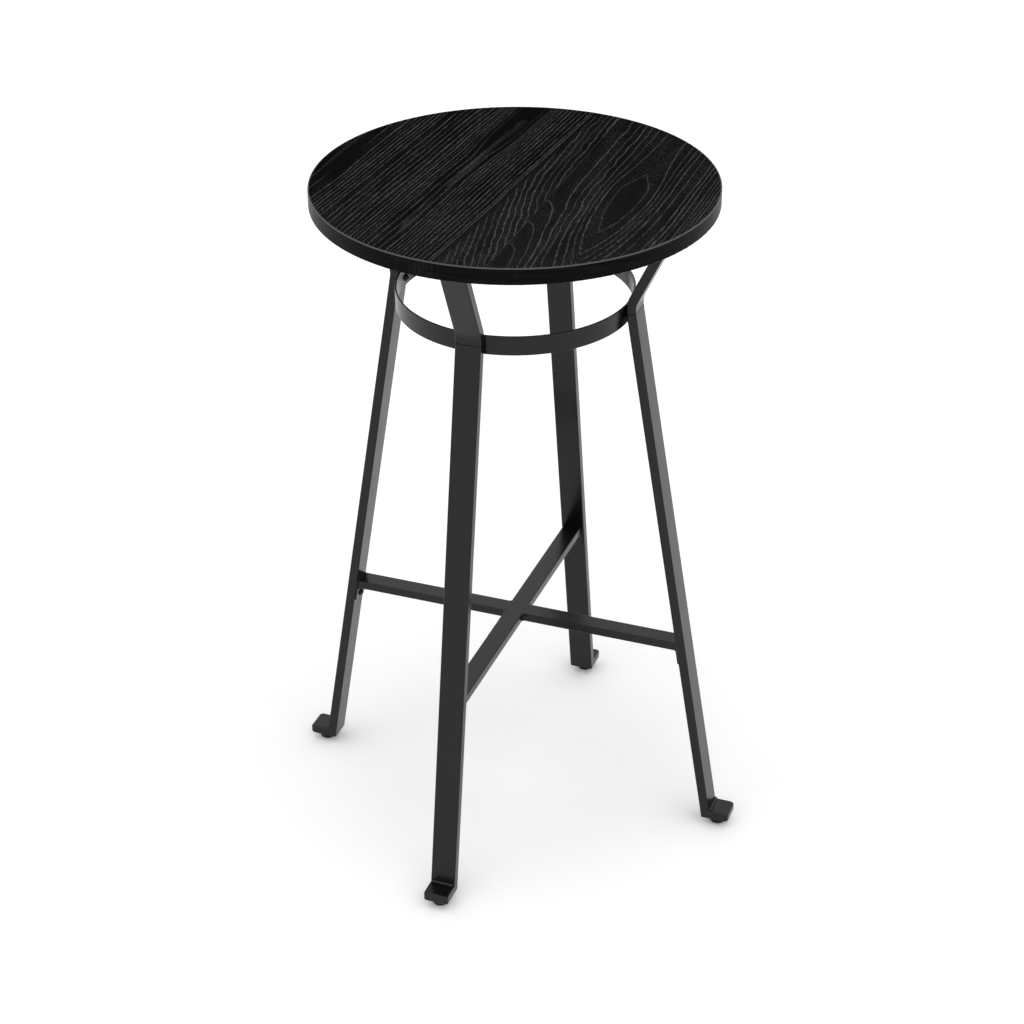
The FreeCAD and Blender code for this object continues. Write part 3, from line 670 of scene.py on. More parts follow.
    def break_up(self, shader: Node, place: Socket) -> None:
        """Draw the ridges with an even width along the rings and turn them to colour, gloss and relief.

        Args:
            shader: the node whose inputs are fed.
            place: the position in millimetres.
        """
        tree = shader.id_data
        across, along, _ = add(tree, "ShaderNodeSeparateXYZ", {0: place}).outputs
        x = Term(across) + (self.wave.at(place) - 0.5) * self.wave_reach
        x = x + (self.ripple.at(place) - 0.5) * self.ripple_reach
        y = Term(along)
        fibre, wander = self.fibre.at(place) - 0.5, self.wander.at(place)
        here, beside, smooth = self.growth(x, y, fibre, wander)
        aside = self.growth(x + self.probe, y, fibre, wander)[0]
        ahead = self.growth(x, y + self.probe, fibre, wander)[0]
        slope = ((aside - here).squared() + (ahead - here).squared()).work("SQRT") / self.probe
        ring = here.work("ROUND")
        off_ring = (here - ring).work("ABSOLUTE") / slope.at_least(self.least_slope)

        right = beside.work("GREATER_THAN", 0.0)
        # Each ring has a strength of its own, unlike that of the same ring on the other board.
        own = add(tree, "ShaderNodeTexWhiteNoise", {"W": ring + right * 100.0}, noise_dimensions="1D")
        strength = Term(own.outputs[0]).ramp(*self.strength_ramp)
        rough = smooth.ramp(*self.rough_ramp)
        streak, cloud = self.streak.at(place), self.cloud.at(place)
        speckle = streak.ramp(*self.streak_ramp)
        seam = beside.work("ABSOLUTE").fade(self.ridge_reach, self.ridge_core)
        ridge = (off_ring.fade(self.ridge_reach, self.ridge_core) * strength * rough).at_least(seam)
        ridge = ridge * self.bead.at(place).ramp(*self.bead_ramp) * speckle
        stem = ((beside - self.stem_place) / self.stem_width).squared().decay()
        stem = stem * cloud.ramp(*self.stem_ramp) * speckle
        pores = self.grit.at(place).ramp(*self.pore_ramp) * cloud.ramp(*self.cloud_ramp)
        # The right board, and the front of the sheet, are made paler.
        tone_shift = right * self.board_step + y * self.stain_drift + self.stain_level
        tone = (ridge + pores * rough.at_least(self.least_rough) + tone_shift + stem).within(0.0, 1.0)
        tint(shader, tone, self.colour, self.ridge_colour)
        (tone * self.ridge_gloss + self.roughness).feed(shader, "Roughness")
        emboss(shader, ((tone, self.ridge_height), (streak, self.pore_height)))


@dataclass(frozen=True)
class BandStrip(Finish):
    """Extruded edge strip with a printed grain: dull black with faint streaks along the edge.

    The upper rim is a painted highlight: a thin paler line all round for the lamp's reflection, made a little
    glossier too.
    """

    # Painted highlight: the paler colour of the upper rim, standing in for the lamp's reflection on it.
    rim_colour: str = "#545454"
    rim_width: float = 1.4
    rim_roughness: float = 0.3
    band_top: float = 1073.5
    streak: Noise = Noise((55, 55, 0.9), 3.0)
    streak_ramp: Ramp = (2.0, -0.8, -1.0)
    fleck: Noise = Noise((2.0, 2.0, 30), 2.0, (1.0, 4.0, 0.0))
    fleck_ramp: Ramp = (3.0, -1.3, -2.0)
    patch: Noise = Noise((60, 60, 400), 1.0, (8.0, 2.0, 0.0))
    patch_span: tuple[float, float] = (0.5, 2 / 3)
    grain_share: float = 0.14
    grain_height: float = 0.02

    def break_up(self, shader: Node, place: Socket) -> None:
        """Add streaks along the edge, short upright flecks in patches, and the painted highlight on the rim.

        Args:
            shader: the node whose inputs are fed.
            place: the position in millimetres.
        """
        flecks = self.fleck.at(place).ramp(*self.fleck_ramp) * self.patch.at(place).rise(*self.patch_span)
        tone = (self.streak.at(place).ramp(*self.streak_ramp) + flecks).within(0.0, 1.0)
        height = Term(add(shader.id_data, "ShaderNodeSeparateXYZ", {0: place}).outputs[2])
        # Mask of the upper rim, where the painted highlight goes and the gloss is raised.
        rim = height.work("GREATER_THAN", self.band_top - self.rim_width)
        tint(shader, (tone * self.grain_share).at_least(rim), self.colour, self.rim_colour)
        (rim * (self.rim_roughness - self.roughness) + self.roughness).feed(shader, "Roughness")
        emboss(shader, ((tone, self.grain_height),))


@dataclass(frozen=True)
class Grained(Finish):
    """A finish broken up by one noise: its colour drifts to a second one and its surface is rough."""

    second_colour: str = "#202020"
    cell: Point = (1.0, 1.0, 1.0)
    depth: float = 0.01
    tint_span: tuple[float, float] = (0.35, 0.65)
    gloss_drift: float = 0.05

    def break_up(self, shader: Node, place: Socket) -> None:
        """Add the noise to colour, gloss and relief.

        Args:
            shader: the node whose inputs are fed.
            place: the position in millimetres.
        """
        grain = Noise(self.cell, 3.0).at(place)
        tint(shader, grain.rise(*self.tint_span), self.colour, self.second_colour)
        gloss = grain.rise(*NOISE_SPAN) * (2 * self.gloss_drift) + self.roughness - self.gloss_drift
        gloss.feed(shader, "Roughness")
        emboss(shader, ((grain, self.depth),))


FINISHES = {
    Slot.TOP_SHEET: DeepGrain("brushed_black_grain_sheet", "#050505", 0.6, specular=0.003),
    Slot.EDGE_BAND: BandStrip("printed_edge_strip", "#040404", 0.36, specular=0.035),
    # Pressed wood chips: pale brown flakes, never polished.
    Slot.CORE_BOARD: Grained("pressed_chipboard", "#9a7c57", 0.85, second_colour="#6f5537",
                             cell=(2.5, 2.5, 0.8), depth=0.15),
    # Resin-soaked paper: even and dull, with a faint press texture.
    Slot.BACKER_SHEET: Grained("pressed_balancing_paper", "#1b1a19", 0.6, second_colour="#242220",
                               cell=(1.2, 9.0, 1.0), depth=0.02),
    Slot.POWDER_COAT: PowderCoat("satin_powder_coat", "#070707", 0.24, specular=0.31),
    # Blackened steel: a dark metal with a dry, slightly uneven sheen.
    Slot.BLACK_BOLT: Grained("black_oxide_steel", "#2b2b2d", 0.38, metallic=1.0, second_colour="#1f1f21",
                             cell=(1.6, 1.6, 1.6), depth=0.003),
    # Zinc plating: pale bluish grey metal, softly brushed.
    Slot.ZINC_STEEL: Grained("bright_zinc_plate", "#b9bec4", 0.32, metallic=1.0, second_colour="#a2a8ae",
                             cell=(3.0, 3.0, 3.0), depth=0.004),
    # Moulded polyethylene: waxy black with a fine spark-eroded mould grain.
    Slot.PLUG_PLASTIC: Grained("moulded_plug_plastic", "#090909", 0.34, specular=0.3, second_colour="#0d0d0d",
                               cell=(0.5, 0.5, 0.5), depth=0.008),
    # Moulded nylon: dull near-black, a little greyer in places.
    Slot.GLIDE_PLASTIC: Grained("moulded_glide_nylon", "#060606", 0.5, specular=0.3, second_colour="#0a0a0a",
                                cell=(0.6, 0.6, 0.6), depth=0.01),
}


def finish_piece(name: str, mesh: Mesh, slot: Slot, body: str,
                 stands_for: Sequence[str] = ()) -> None:
    """Make a mesh a piece of the table.

    Args:
        name: the piece's name.
        mesh: its mesh, in place and in metres.
        slot: the record's slot that its finish belongs to.
        body: the body that it moves with.
        stands_for: the frame's nodes that it takes the place of.
    """
    mesh.materials.clear()
    mesh.materials.append(FINISHES[slot].material())
    mesh.name = name
    piece = new_object(name, mesh)
    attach(piece, body)
    if stands_for:
        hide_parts(*stands_for)
    log.info("%s: %d faces on %s", name, len(mesh.polygons), body)


# Welds, and turned and threaded fixings.

def bead_rule() -> Rule:
    """Write the rule that sweeps a rippled bead along a path, thinner at open ends.

    Returns:
        The rule.
    """
    rule = Rule("weld_bead", bead="Float", ripple="Float", finish="Material")
    tree, given = rule.tree, rule.given
    steps_per_ripple, swell, drift, least_size, end_slope, end_size = 7.0, 0.16, 0.24, 0.76, 12.0, 0.25
    path = add(tree, "GeometryNodeMeshToCurve", {0: given["Geometry"]})
    fine = add(tree, "GeometryNodeResampleCurve",
               {"Curve": path, "Length": Term(given["ripple"]) / steps_per_ripple}, mode="LENGTH")
    along = add(tree, "GeometryNodeSplineParameter").outputs
    wander = Term(add(tree, "ShaderNodeTexNoise", {"Scale": 150.0, "Detail": 1.0}).outputs[0])
    closed = add(tree, "GeometryNodeInputSplineCyclic").outputs[0]
    beat = (Term(along["Length"]) / given["ripple"] * math.pi).work("SINE").work("ABSOLUTE")
    from_end = (Term(along["Factor"]) - 0.5).work("ABSOLUTE") * -2.0 + 1.0
    taper = (from_end * end_slope).within(end_size, 1.0).at_least(closed)
    size = (beat * swell + wander * drift + least_size) * taper
    sized = add(tree, "GeometryNodeSetCurveRadius", {"Curve": fine, "Radius": size})
    section = add(tree, "GeometryNodeCurvePrimitiveCircle", {"Resolution": 14, "Radius": given["bead"]})
    bead = add(tree, "GeometryNodeCurveToMesh", {"Curve": sized, "Profile Curve": section,
                                                 "Fill Caps": True})
    rule.end(add(tree, "GeometryNodeSetShadeSmooth", {0: bead}))
    return rule


def rounded_box(far: Point, near: Point, side: float, radius: float) -> list[Vector]:
    """Draw a box with rounded corners.

    Args:
        far: the middle of its far edge.
        near: the middle of its near edge.
        side: how far it reaches to both sides, along Y.
        radius: how far from each corner the rounding starts.

    Returns:
        The points of its outline.
    """
    across, steps, points = Vector((0, side, 0)), 4, []
    corners = [Vector(far) - across, Vector(far) + across, Vector(near) + across, Vector(near) - across]
    for index, corner in enumerate(corners):
        before = corner + (corners[index - 1] - corner).normalized() * radius
        after = corner + (corners[(index + 1) % 4] - corner).normalized() * radius
        for step in range(steps + 1):
            share = step / steps
            points.append(before.lerp(corner, share).lerp(corner.lerp(after, share), share))
    return points


class Recess(Enum):
    """What a driver fits into, by its number of like sides."""

    NONE = 0
    CROSS = 4
    HEXAGON = 6


@dataclass
class Fixing:
    """A turned fixing along +Z, its head below the origin and its thread above."""

    name: str
    profile: Sequence[Point]
    thread: tuple[float, float] = (0.0, 0.0)
    pitch: float = 1.0
    thread_depth: float = 0.6
    shank: float = 3.0
    recess: Recess = Recess.NONE
    recess_width: float = 4.0
    recess_depth: float = 2.2
    around: int = 32
    rows_per_turn: int = 8

    def outline(self) -> list[Vector]:
        """Draw the profile with close rows along the thread.

        Returns:
            Its points, from the head up.
        """
        points = []
        for start, end in zip(self.profile, self.profile[1:]):
            points.append(Vector((start[0], 0, start[1])))
            inside = self.thread[0] <= start[1] < self.thread[1] and abs(start[0] - end[0]) < 0.01
            count = int((end[1] - start[1]) / self.pitch * self.rows_per_turn) if inside else 1
            for step in range(1, count):
                share = step / count
                points.append(Vector((start[0], 0, start[1] + (end[1] - start[1]) * share)))
        points.append(Vector((self.profile[-1][0], 0, self.profile[-1][1])))
        return points

    def cutter(self) -> Mesh:
        """Draw the shape of the recess, which reaches out of the head and narrows if it is a cross.

        Returns:
            The shape, in metres.
        """
        half = self.recess_width / 2
        blade = half / 4
        bottom = self.profile[0][1]
        points = []
        for height, reach in ((bottom - 1.0, half * 1.25), (bottom + self.recess_depth, half * 0.45)):
            corners = ((reach, -blade), (reach, blade), (blade, blade))
            if self.recess is Recess.HEXAGON:
                corners = ((0.0, half / math.cos(math.pi / 6)),)
            for turn in range(self.recess.value):
                aim = Matrix.Rotation(math.tau * turn / self.recess.value, 3, "Z")
                points += [aim @ Vector((*corner, height)) for corner in corners]
        count = len(points) // 2
        sides = [(index, (index + 1) % count, (index + 1) % count + count, index + count)
                 for index in range(count)]
        caps = [tuple(reversed(range(count))), tuple(range(count, 2 * count))]
        return new_mesh(self.name + "_recess", points, faces=sides + caps)

    def blank(self, rule: Rule) -> bpy.types.Object:
        """Make one fixing at the origin.

        Args:
            rule: the turning rule.

        Returns:
            The fixing, which is removed once its copies are set.
        """
        outline = new_polyline(self.name, self.outline())
        shape = None if self.recess is Recess.NONE else self.cutter()
        cutter = new_object(self.name + "_cutter", shape)
        mesh = rule.make(outline, around=self.around, pitch=self.pitch * MM, depth=self.thread_depth * MM,
                         begin=self.thread[0] * MM, stop=self.thread[1] * MM, shank=(self.shank - 0.05) * MM,
                         cut=shape is not None, cutter=cutter)
        bpy.data.objects.remove(cutter)
        return new_object(self.name + "_blank", mesh)


def turning_rule() -> Rule:
    """Write the rule that turns a profile about Z, cuts its thread and sinks its recess.

    Returns:
        The rule.
    """
    rule = Rule("turned_fixing", around="Int", pitch="Float", depth="Float", begin="Float", stop="Float",
                shank="Float", cut="Bool", cutter="Object", finish="Material")
    tree, given = rule.tree, rule.given
    rows = Term(add(tree, "GeometryNodeAttributeDomainSize", {0: given["Geometry"]}).outputs["Point Count"])
    sheet = add(tree, "GeometryNodeMeshGrid", {"Size X": 1.0, "Size Y": 1.0, "Vertices Y": rows,
                                               "Vertices X": Term(given["around"]) + 1.0})
    spot = add(tree, "GeometryNodeInputPosition")
    # Each column of the sheet is one direction from the axis, and each row one point of the profile.
    here = add(tree, "ShaderNodeSeparateXYZ", {0: spot}).outputs
    round_share = Term(here[0]) + 0.5
    row = ((Term(here[1]) + 0.5) * (rows - 1.0)).work("ROUND")
    sample = add(tree, "GeometryNodeSampleIndex", {"Geometry": given["Geometry"], "Value": spot,
                                                   "Index": row}, data_type="FLOAT_VECTOR")
    profile = add(tree, "ShaderNodeSeparateXYZ", {0: sample}).outputs
    radius, height = Term(profile[0]), Term(profile[2])
    groove = ((height / given["pitch"] - round_share).work("FRACT") - 0.5).work("ABSOLUTE") * 2.0
    threaded = height.work("GREATER_THAN", given["begin"]) * height.work("LESS_THAN", given["stop"])
    threaded = threaded * radius.work("GREATER_THAN", given["shank"])
    radius = radius - groove * given["depth"] * threaded
    angle = round_share * math.tau
    point = add(tree, "ShaderNodeCombineXYZ", {0: radius * angle.work("COSINE"),
                                               1: radius * angle.work("SINE"), 2: height})
    turned = add(tree, "GeometryNodeSetPosition", {"Geometry": sheet, "Position": point})
    closed = add(tree, "GeometryNodeMergeByDistance", {"Geometry": turned, "Distance": 1e-6})
    tool = add(tree, "GeometryNodeObjectInfo", {"Object": given["cutter"]})
    sunk = add(tree, "GeometryNodeMeshBoolean", {0: closed, 1: tool.outputs["Geometry"]},
               operation="DIFFERENCE", solver="EXACT")
    chosen = add(tree, "GeometryNodeSwitch", {"Switch": given["cut"], "False": closed, "True": sunk},
                 input_type="GEOMETRY")
    bend = add(tree, "GeometryNodeInputMeshEdgeAngle")
    soft = add(tree, "FunctionNodeCompare", {0: bend, 1: math.radians(32)}, data_type="FLOAT",
               operation="LESS_THAN")
    faces = add(tree, "GeometryNodeSetShadeSmooth", {0: chosen})
    rule.end(add(tree, "GeometryNodeSetShadeSmooth", {0: faces, "Shade Smooth": soft}, domain="EDGE"))
    return rule


def setting_rule() -> Rule:
    """Write the rule that sets a copy of a blank on every point, along the point's own aim.

    Returns:
        The rule.
    """
    rule = Rule("set_fixings", blank="Object", finish="Material")
    tree, given = rule.tree, rule.given
    aim = add(tree, "GeometryNodeInputNamedAttribute", {"Name": "aim"}, data_type="FLOAT_VECTOR")
    turn = add(tree, "FunctionNodeAlignRotationToVector", {"Vector": aim}, axis="Z")
    blank = add(tree, "GeometryNodeObjectInfo", {"Object": given["blank"], "As Instance": True})
    rule.end(add(tree, "GeometryNodeInstanceOnPoints",
                 {"Points": given["Geometry"], "Instance": blank.outputs["Geometry"], "Rotation": turn}))
    return rule


def domed_bolt(name: str, length: float) -> Fixing:
    """Draw a button head bolt with a 12 mm head and a 6 mm thread.

    Args:
        name: the bolt's name.
        length: its length under the head.

    Returns:
        The bolt.
    """
    head, rise, dome_rise, chamfer = 6.0, 4.0, 3.9535, 0.6
    dome = [(head * math.sin(angle), dome_rise * (1 - math.cos(angle)) - rise)
            for angle in map(math.radians, range(30, 82, 10))]
    profile = [(0.0, -rise), (2.4, -rise), *dome, (head, -0.5), (5.75, 0.0), (2.9, 0.0), (3.0, 0.1),
               (3.0, length - chamfer), (2.4, length), (0.0, length)]
    return Fixing(name, profile, thread=(0.1, length - chamfer), thread_depth=0.55, recess=Recess.HEXAGON)


class Workshop:
    """The rules that the sub-assemblies share, each made once."""

    weld_ripple = 1.3

    def __init__(self) -> None:
        """Make the rules for weld beads, for turned parts and for setting them."""
        self.bead, self.turning, self.setting = bead_rule(), turning_rule(), setting_rule()

    def weld(self, name: str, lines: Iterable[Sequence[Vector]], bead: float, closed: bool = False,
             stands_for: Sequence[str] = ()) -> None:
        """Make one piece of rippled beads.

        Args:
            name: the piece's name.
            lines: the points that each bead runs through, in millimetres.
            bead: the beads' radius.
            closed: whether each bead ends where it starts.
            stands_for: the frame's nodes that the beads take the place of.
        """
        sizes = {"bead": bead * MM, "ripple": self.weld_ripple * MM}
        finish = FINISHES[Slot.POWDER_COAT].material()
        beads = [self.bead.make(new_polyline(name, line, closed), finish=finish, **sizes) for line in lines]
        finish_piece(name, join_meshes(name, beads), Slot.POWDER_COAT, "table", stands_for)

    def fasten(self, name: str, fixing: Fixing, spots: Sequence[Sequence[Vector]], slot: Slot,
               stands_for: str, body: str = "table") -> None:
        """Make one piece of copies of a fixing.

        Args:
            name: the piece's name.
            fixing: what is set.
            spots: the place and the aim of each copy, in millimetres.
            slot: the record's slot of its finish.
            stands_for: the frame's node that the piece takes the place of.
            body: the body that the piece moves with.
        """
        blank = fixing.blank(self.turning)
        points = new_mesh(name, [place for place, _ in spots])
        aims = points.attributes.new("aim", "FLOAT_VECTOR", "POINT")
        for item, (_, aim) in zip(aims.data, spots):
            item.vector = aim
        mesh = self.setting.make(points, blank=blank, finish=FINISHES[slot].material())
        bpy.data.objects.remove(blank)
        finish_piece(name, mesh, slot, body, (stands_for,))


# Sub-assemblies of the table.

def at_each_leg(points: Sequence[Point], legs: Iterable[Leg] = Leg) -> list[list[Vector]]:
    """Return points of the radial frame as they lie at each leg."""
    return [[leg.turn(point) for point in points] for leg in legs]


@dataclass(frozen=True)
class LegTube:
    """Rectangular tube of a leg, whose lower length leans in from its heel."""

    width: float = 40.0
    depth: float = 15.0
    corner: float = 2.0
    lean: float = 9.3146
    heel_reach: float = 338.5
    toe_top: float = 28.5

    def point(self, height: float, inside: float, across: float = 0.0) -> Vector:
        """Find a place of the lower length.

        Args:
            height: its height above the floor.
            inside: how far it is inside the outer face.
            across: how far it is off the middle.

        Returns:
            The place, in the leg's radial frame.
        """
        lean = math.radians(self.lean)
        reach = self.heel_reach - (height - self.toe_top) * math.tan(lean) - inside / math.cos(lean)
        return Vector((reach, across, height))

    def outwards(self) -> Vector:
        """Return the direction square to the lower length's outer face."""
        lean = math.radians(self.lean)
        return Vector((math.cos(lean), 0.0, math.sin(lean)))


class SubAssembly:
    """A part of the table, which dresses its own solids of the frame and makes its finer pieces."""

    SOLIDS: tuple[str, ...] = ()

    def dress(self) -> None:
        """Give each solid whose name starts as this part's do the finish of that solid's own slot."""
        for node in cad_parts.values():
            if node.name.startswith(self.SOLIDS):
                for place in node.material_slots:
                    slot = Slot(place.material.name.split(".")[0])
                    place.link = "OBJECT"
                    place.material = FINISHES[slot].material()
                log.info("%s: dressed", node.name)

    def build(self, workshop: Workshop) -> None:
        """Make the part's finer pieces, where it has any.

        Args:
            workshop: the rules that make the pieces.
        """


class TableTop(SubAssembly):
    """Chipboard core between a grained wear sheet and a plain backer, with a glued edge strip."""

    SOLIDS = ("top_core", "top_veneer", "bottom_backer", "edge_band")


@dataclass
class LegFrame(SubAssembly):
    """Four bent legs, welded to plates that are screwed under the top."""

    SOLIDS = ("leg_", "top_wood_screws")
    tube: LegTube = LegTube()
    top_reach: float = 260.3
    upper_lean: float = 25.5
    plate_bottom: float = 1044.5
    plate_drop: float = 4.0
    plate_bead: float = 1.9
    screw_along: float = 22.0
    screw_across: float = 35.0

    def plate_loop(self) -> list[Vector]:
        """Draw the outline of an upper leg where it meets its plate.

        Returns:
            Its points, in the leg's radial frame.
        """
        lean = math.radians(self.upper_lean)
        outer = self.top_reach - self.plate_drop * math.tan(lean)
        inner = outer - self.tube.depth / math.cos(lean)
        return rounded_box((outer, 0, self.plate_bottom), (inner, 0, self.plate_bottom),
                           self.tube.width / 2, self.tube.corner)

    def screw_spots(self) -> list[list[Vector]]:
        """Set out the wood screws round the middles of the frame's plates.

        Returns:
            The place and the aim of each screw.
        """
        low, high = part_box("leg_right_top_plate")
        reach = (low[0] + high[0]) / 2 / MM
        return [spot for along in (-self.screw_along, self.screw_along)
                for across in (-self.screw_across, self.screw_across)
                for spot in at_each_leg(((reach + along, across, self.plate_bottom), (0, 0, 1)))]

    def build(self, workshop: Workshop) -> None:
        """Weld the plates to the legs and screw them under the top.

        Args:
            workshop: the rules that make the pieces.
        """
        workshop.weld("top_plate_beads", at_each_leg(self.plate_loop()), self.plate_bead, closed=True)
        screw = Fixing("wood_screw", [(0, -2.6), (1.6, -2.55), (3.0, -2.1), (4.1, -1.2), (4.5, -0.2),
                                      (4.3, 0), (2.2, 0), (2.25, 0.2), (2.25, 4.2), (2.25, 14.5),
                                      (0.5, 18.6), (0, 18.9)],
                       thread=(4.2, 14.4), pitch=1.8, shank=2.25, recess=Recess.CROSS, recess_width=5.0,
                       recess_depth=1.9, around=24)
        workshop.fasten("cross_head_wood_screws", screw, self.screw_spots(), Slot.ZINC_STEEL,
                        "top_wood_screws")


@dataclass
class WaistRing(SubAssembly):
    """Upright flat ring, bolted to the insides of the legs."""

    SOLIDS = ("ring_",)
    seat: float = 176.934
    bolt_height: float = 892.631
    bolt_length: float = 17.0

    def build(self, workshop: Workshop) -> None:
        """Bolt the ring to the legs.

        Args:
            workshop: the rules that make the pieces.
        """
        spots = at_each_leg(((self.seat, 0, self.bolt_height), (1, 0, 0)))
        bolt = domed_bolt("ring_bolt", self.bolt_length)
        workshop.fasten("ring_button_bolts", bolt, spots, Slot.BLACK_BOLT, "ring_bolts")


@dataclass
class CrossBrace(SubAssembly):
    """Flat bars that cross between the legs, each end welded to a tab that is bolted to its leg."""

    SOLIDS = ("brace_",)
    tube: LegTube = LegTube()
    half_width: float = 15.0
    bottom: float = 323.5
    top: float = 337.5
    tab_depth: float = 17.5
    bolt_height: float = 307.095
    bolt_length: float = 12.0
    bead_end: float = 1.0
    corner_bead: float = 1.9
    corner_inset: float = 0.5
    tab_bead: float = 2.3
    flush_bead: float = 1.3
    flush_depth: float = 1.15
    flush_corner: float = 2.0

    def corner_line(self) -> list[Vector]:
        """Return the upright line in an inner corner of the crossing."""
        corner = self.half_width + self.corner_inset
        return [Vector((corner, corner, height)) for height in (self.bottom + self.bead_end,
                                                                self.top - self.bead_end)]

    def tab_line(self) -> list[Vector]:
        """Return the line under a bar where it meets its tab."""
        side = self.half_width - self.bead_end
        return [self.tube.point(self.bottom, self.tab_depth, across) for across in (-side, side)]

    def crossing_loop(self) -> list[Vector]:
        """Draw the outline of a short bar where it meets the through bar, a little inside it.

        Returns:
            Its points, in the leg's radial frame.
        """
        side = self.half_width - self.flush_depth
        low, high = self.bottom + self.flush_depth, self.top - self.flush_depth
        return rounded_box((self.half_width, 0, high), (self.half_width, 0, low), side, self.flush_corner)

    def build(self, workshop: Workshop) -> None:
        """Weld the bars to each other and to their tabs, and bolt the tabs to the legs.

        Args:
            workshop: the rules that make the pieces.
        """
        workshop.weld("brace_corner_beads", at_each_leg(self.corner_line()), self.corner_bead,
                      stands_for=("brace_welds",))
        workshop.weld("brace_tab_beads", at_each_leg(self.tab_line()), self.tab_bead)
        sides = (Leg.RIGHT, Leg.LEFT)
        workshop.weld("brace_crossing_beads", at_each_leg(self.crossing_loop(), sides), self.flush_bead,
                      closed=True)
        spots = at_each_leg((self.tube.point(self.bolt_height, self.tab_depth), self.tube.outwards()))
        bolt = domed_bolt("brace_bolt", self.bolt_length)
        workshop.fasten("brace_button_bolts", bolt, spots, Slot.BLACK_BOLT, "brace_bolts")


@dataclass
class Feet(SubAssembly):
    """Toes welded on at the heels, with their end plugs and levelling glides."""

    SOLIDS = ("foot_", "toe_welds", "glide_")
    tube: LegTube = LegTube()
    toe_bead: float = 3.1
    bead_inset: float = 0.5
    glide_reach: float = 348.5

    def toe_line(self) -> list[Vector]:
        """Return the line in the corner between a leg and its toe."""
        half = self.tube.width / 2 - self.tube.corner
        return [Vector((self.tube.heel_reach + self.bead_inset, side, self.tube.toe_top + self.bead_inset))
                for side in (-half, half)]

    def build(self, workshop: Workshop) -> None:
        """Weld the toes on and screw in the glides' studs.

        Args:
            workshop: the rules that make the pieces.
        """
        workshop.weld("toe_weld_beads", at_each_leg(self.toe_line()), self.toe_bead,
                      stands_for=("toe_welds",))
        stud = Fixing("glide_stud", [(0, 3.0), (6.3, 3.0), (6.5, 3.2), (6.5, 6.0), (6.3, 6.2), (4.0, 6.2),
                                     (4.0, 6.5), (4.0, 25.5), (3.2, 26.3), (0, 26.3)],
                      thread=(6.5, 25.4), pitch=1.25, thread_depth=0.65, shank=4.0, around=40)
        for leg in Leg:
            spot = (leg.turn((self.glide_reach, 0, 0)), Vector((0, 0, 1)))
            workshop.fasten(f"threaded_stud_{leg.word}", stud, [spot], Slot.ZINC_STEEL,
                            f"glide_{leg.word}_stud", f"stud_{leg.word}")


# The room.

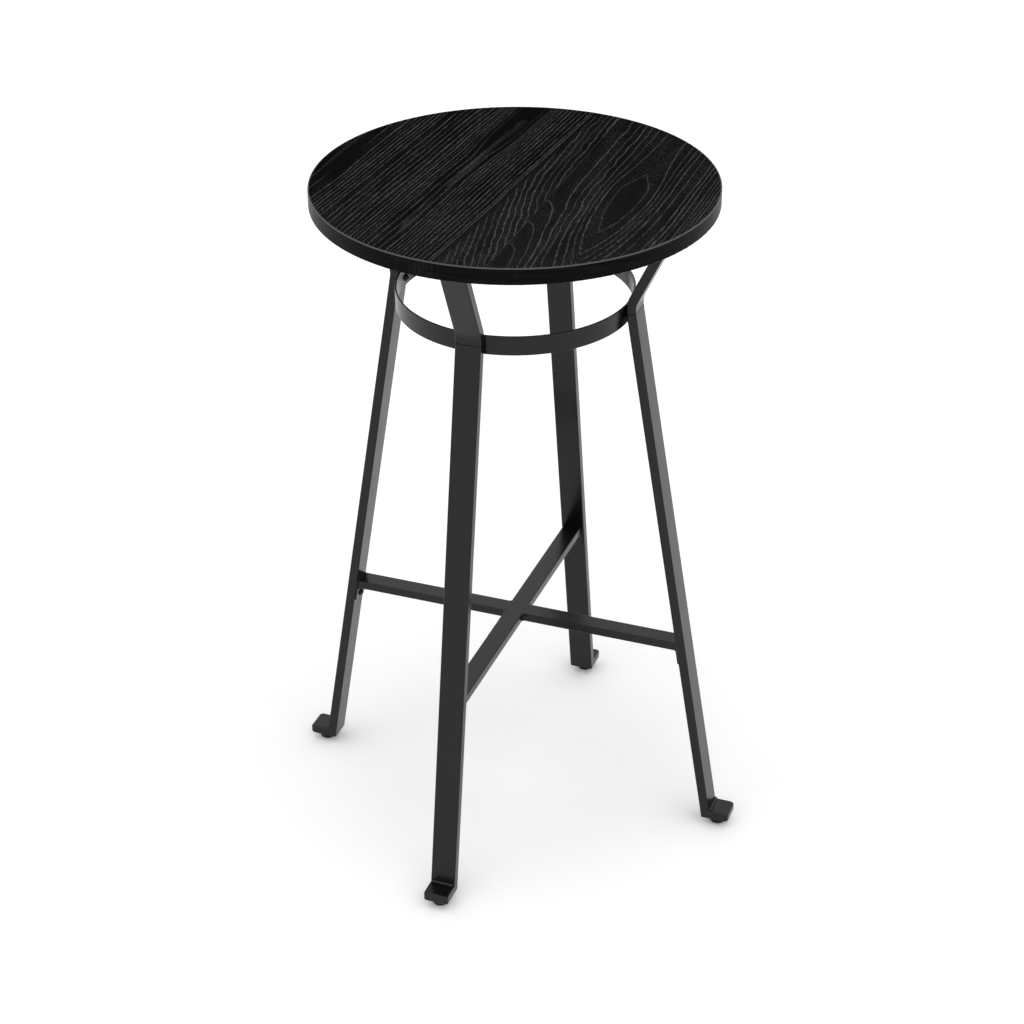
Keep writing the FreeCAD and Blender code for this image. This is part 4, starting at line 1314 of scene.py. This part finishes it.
@dataclass
class Studio:
    """Pale floor, soft light and the camera."""

    floor_half: float = 40.0
    floor_colour: str = "#e8e8e8"
    shown_floor: float = 1.14
    fill: float = 0.65
    key_strength: float = 1.25
    key_spread: float = 100.0
    key_place: Point = (0.9, -1.8, 3.6)
    camera_place: Point = (1.15819, -3.10432, 2.46193)
    camera_heading: float = 20.581
    camera_pitch: float = -30.44
    camera_roll: float = -0.353
    camera_lens: float = 85.824

    def build(self) -> None:
        """Make the floor, the light and the camera."""
        self.make_floor()
        self.make_world()
        self.make_key()
        self.make_camera()
        bpy.context.scene.view_settings.view_transform = "Standard"

    def make_floor(self) -> None:
        """Make the floor, which shows white to the camera and in reflections but keeps its shadows."""
        half = self.floor_half / MM
        corners = [(-half, -half, 0), (half, -half, 0), (half, half, 0), (-half, half, 0)]
        mesh = new_mesh("studio_floor", corners, faces=[(0, 1, 2, 3)])
        material = bpy.data.materials.new("pale_floor")
        material.use_nodes = True
        tree = material.node_tree
        tree.nodes.clear()
        light = add(tree, "ShaderNodeLightPath")
        plain = add(tree, "ShaderNodeBsdfDiffuse", {"Color": linear(self.floor_colour)})
        shown = add(tree, "ShaderNodeBsdfDiffuse", {"Color": (self.shown_floor,) * 3 + (1.0,)})
        seen = Term(light.outputs["Is Camera Ray"]).at_least(light.outputs["Is Glossy Ray"])
        mixed = add(tree, "ShaderNodeMixShader", {0: seen, 1: plain, 2: shown})
        add(tree, "ShaderNodeOutputMaterial", {0: mixed})
        mesh.materials.append(material)
        new_object("studio_floor", mesh)

    def make_world(self) -> None:
        """Make an even white surround that lights more softly than it shows."""
        world = bpy.data.worlds.new("soft_surround")
        world.use_nodes = True
        tree = world.node_tree
        tree.nodes.clear()
        light = add(tree, "ShaderNodeLightPath")
        seen = Term(light.outputs["Is Camera Ray"]).at_least(light.outputs["Is Glossy Ray"])
        seen = seen.at_least(light.outputs["Is Transmission Ray"])
        strength = seen * (1.0 - self.fill) + self.fill
        glow = add(tree, "ShaderNodeBackground", {"Color": (1.0, 1.0, 1.0, 1.0), "Strength": strength})
        add(tree, "ShaderNodeOutputWorld", {0: glow})
        bpy.context.scene.world = world

    def make_key(self) -> None:
        """Make the wide overhead light, which falls evenly on table and floor."""
        lamp = bpy.data.lights.new("key_light", "SUN")
        lamp.energy = self.key_strength
        lamp.angle = math.radians(self.key_spread)
        holder = new_object("key_light", lamp)
        holder.location = self.key_place
        holder.rotation_euler = (-Vector(self.key_place)).to_track_quat("-Z", "Y").to_euler()

    def make_camera(self) -> None:
        """Make the camera, which looks down on the table from the front right."""
        camera = bpy.data.cameras.new("camera")
        camera.sensor_fit = "HORIZONTAL"
        camera.sensor_width = 36.0
        camera.lens = self.camera_lens
        holder = new_object("camera", camera)
        turn = (Matrix.Rotation(math.radians(self.camera_heading), 4, "Z")
                @ Matrix.Rotation(math.radians(90.0 + self.camera_pitch), 4, "X")
                @ Matrix.Rotation(math.radians(self.camera_roll), 4, "Z"))
        holder.matrix_world = Matrix.Translation(self.camera_place) @ turn
        bpy.context.scene.camera = holder


def main() -> None:
    """Build the room and each sub-assembly in order."""
    logging.basicConfig(level=logging.INFO, format="%(name)s: %(message)s")
    Studio().build()
    workshop = Workshop()
    for part in (TableTop(), LegFrame(), WaistRing(), CrossBrace(), Feet()):
        part.dress()
        part.build(workshop)
        log.info("%s built", type(part).__name__)


if __name__ == "__main__":
    main()
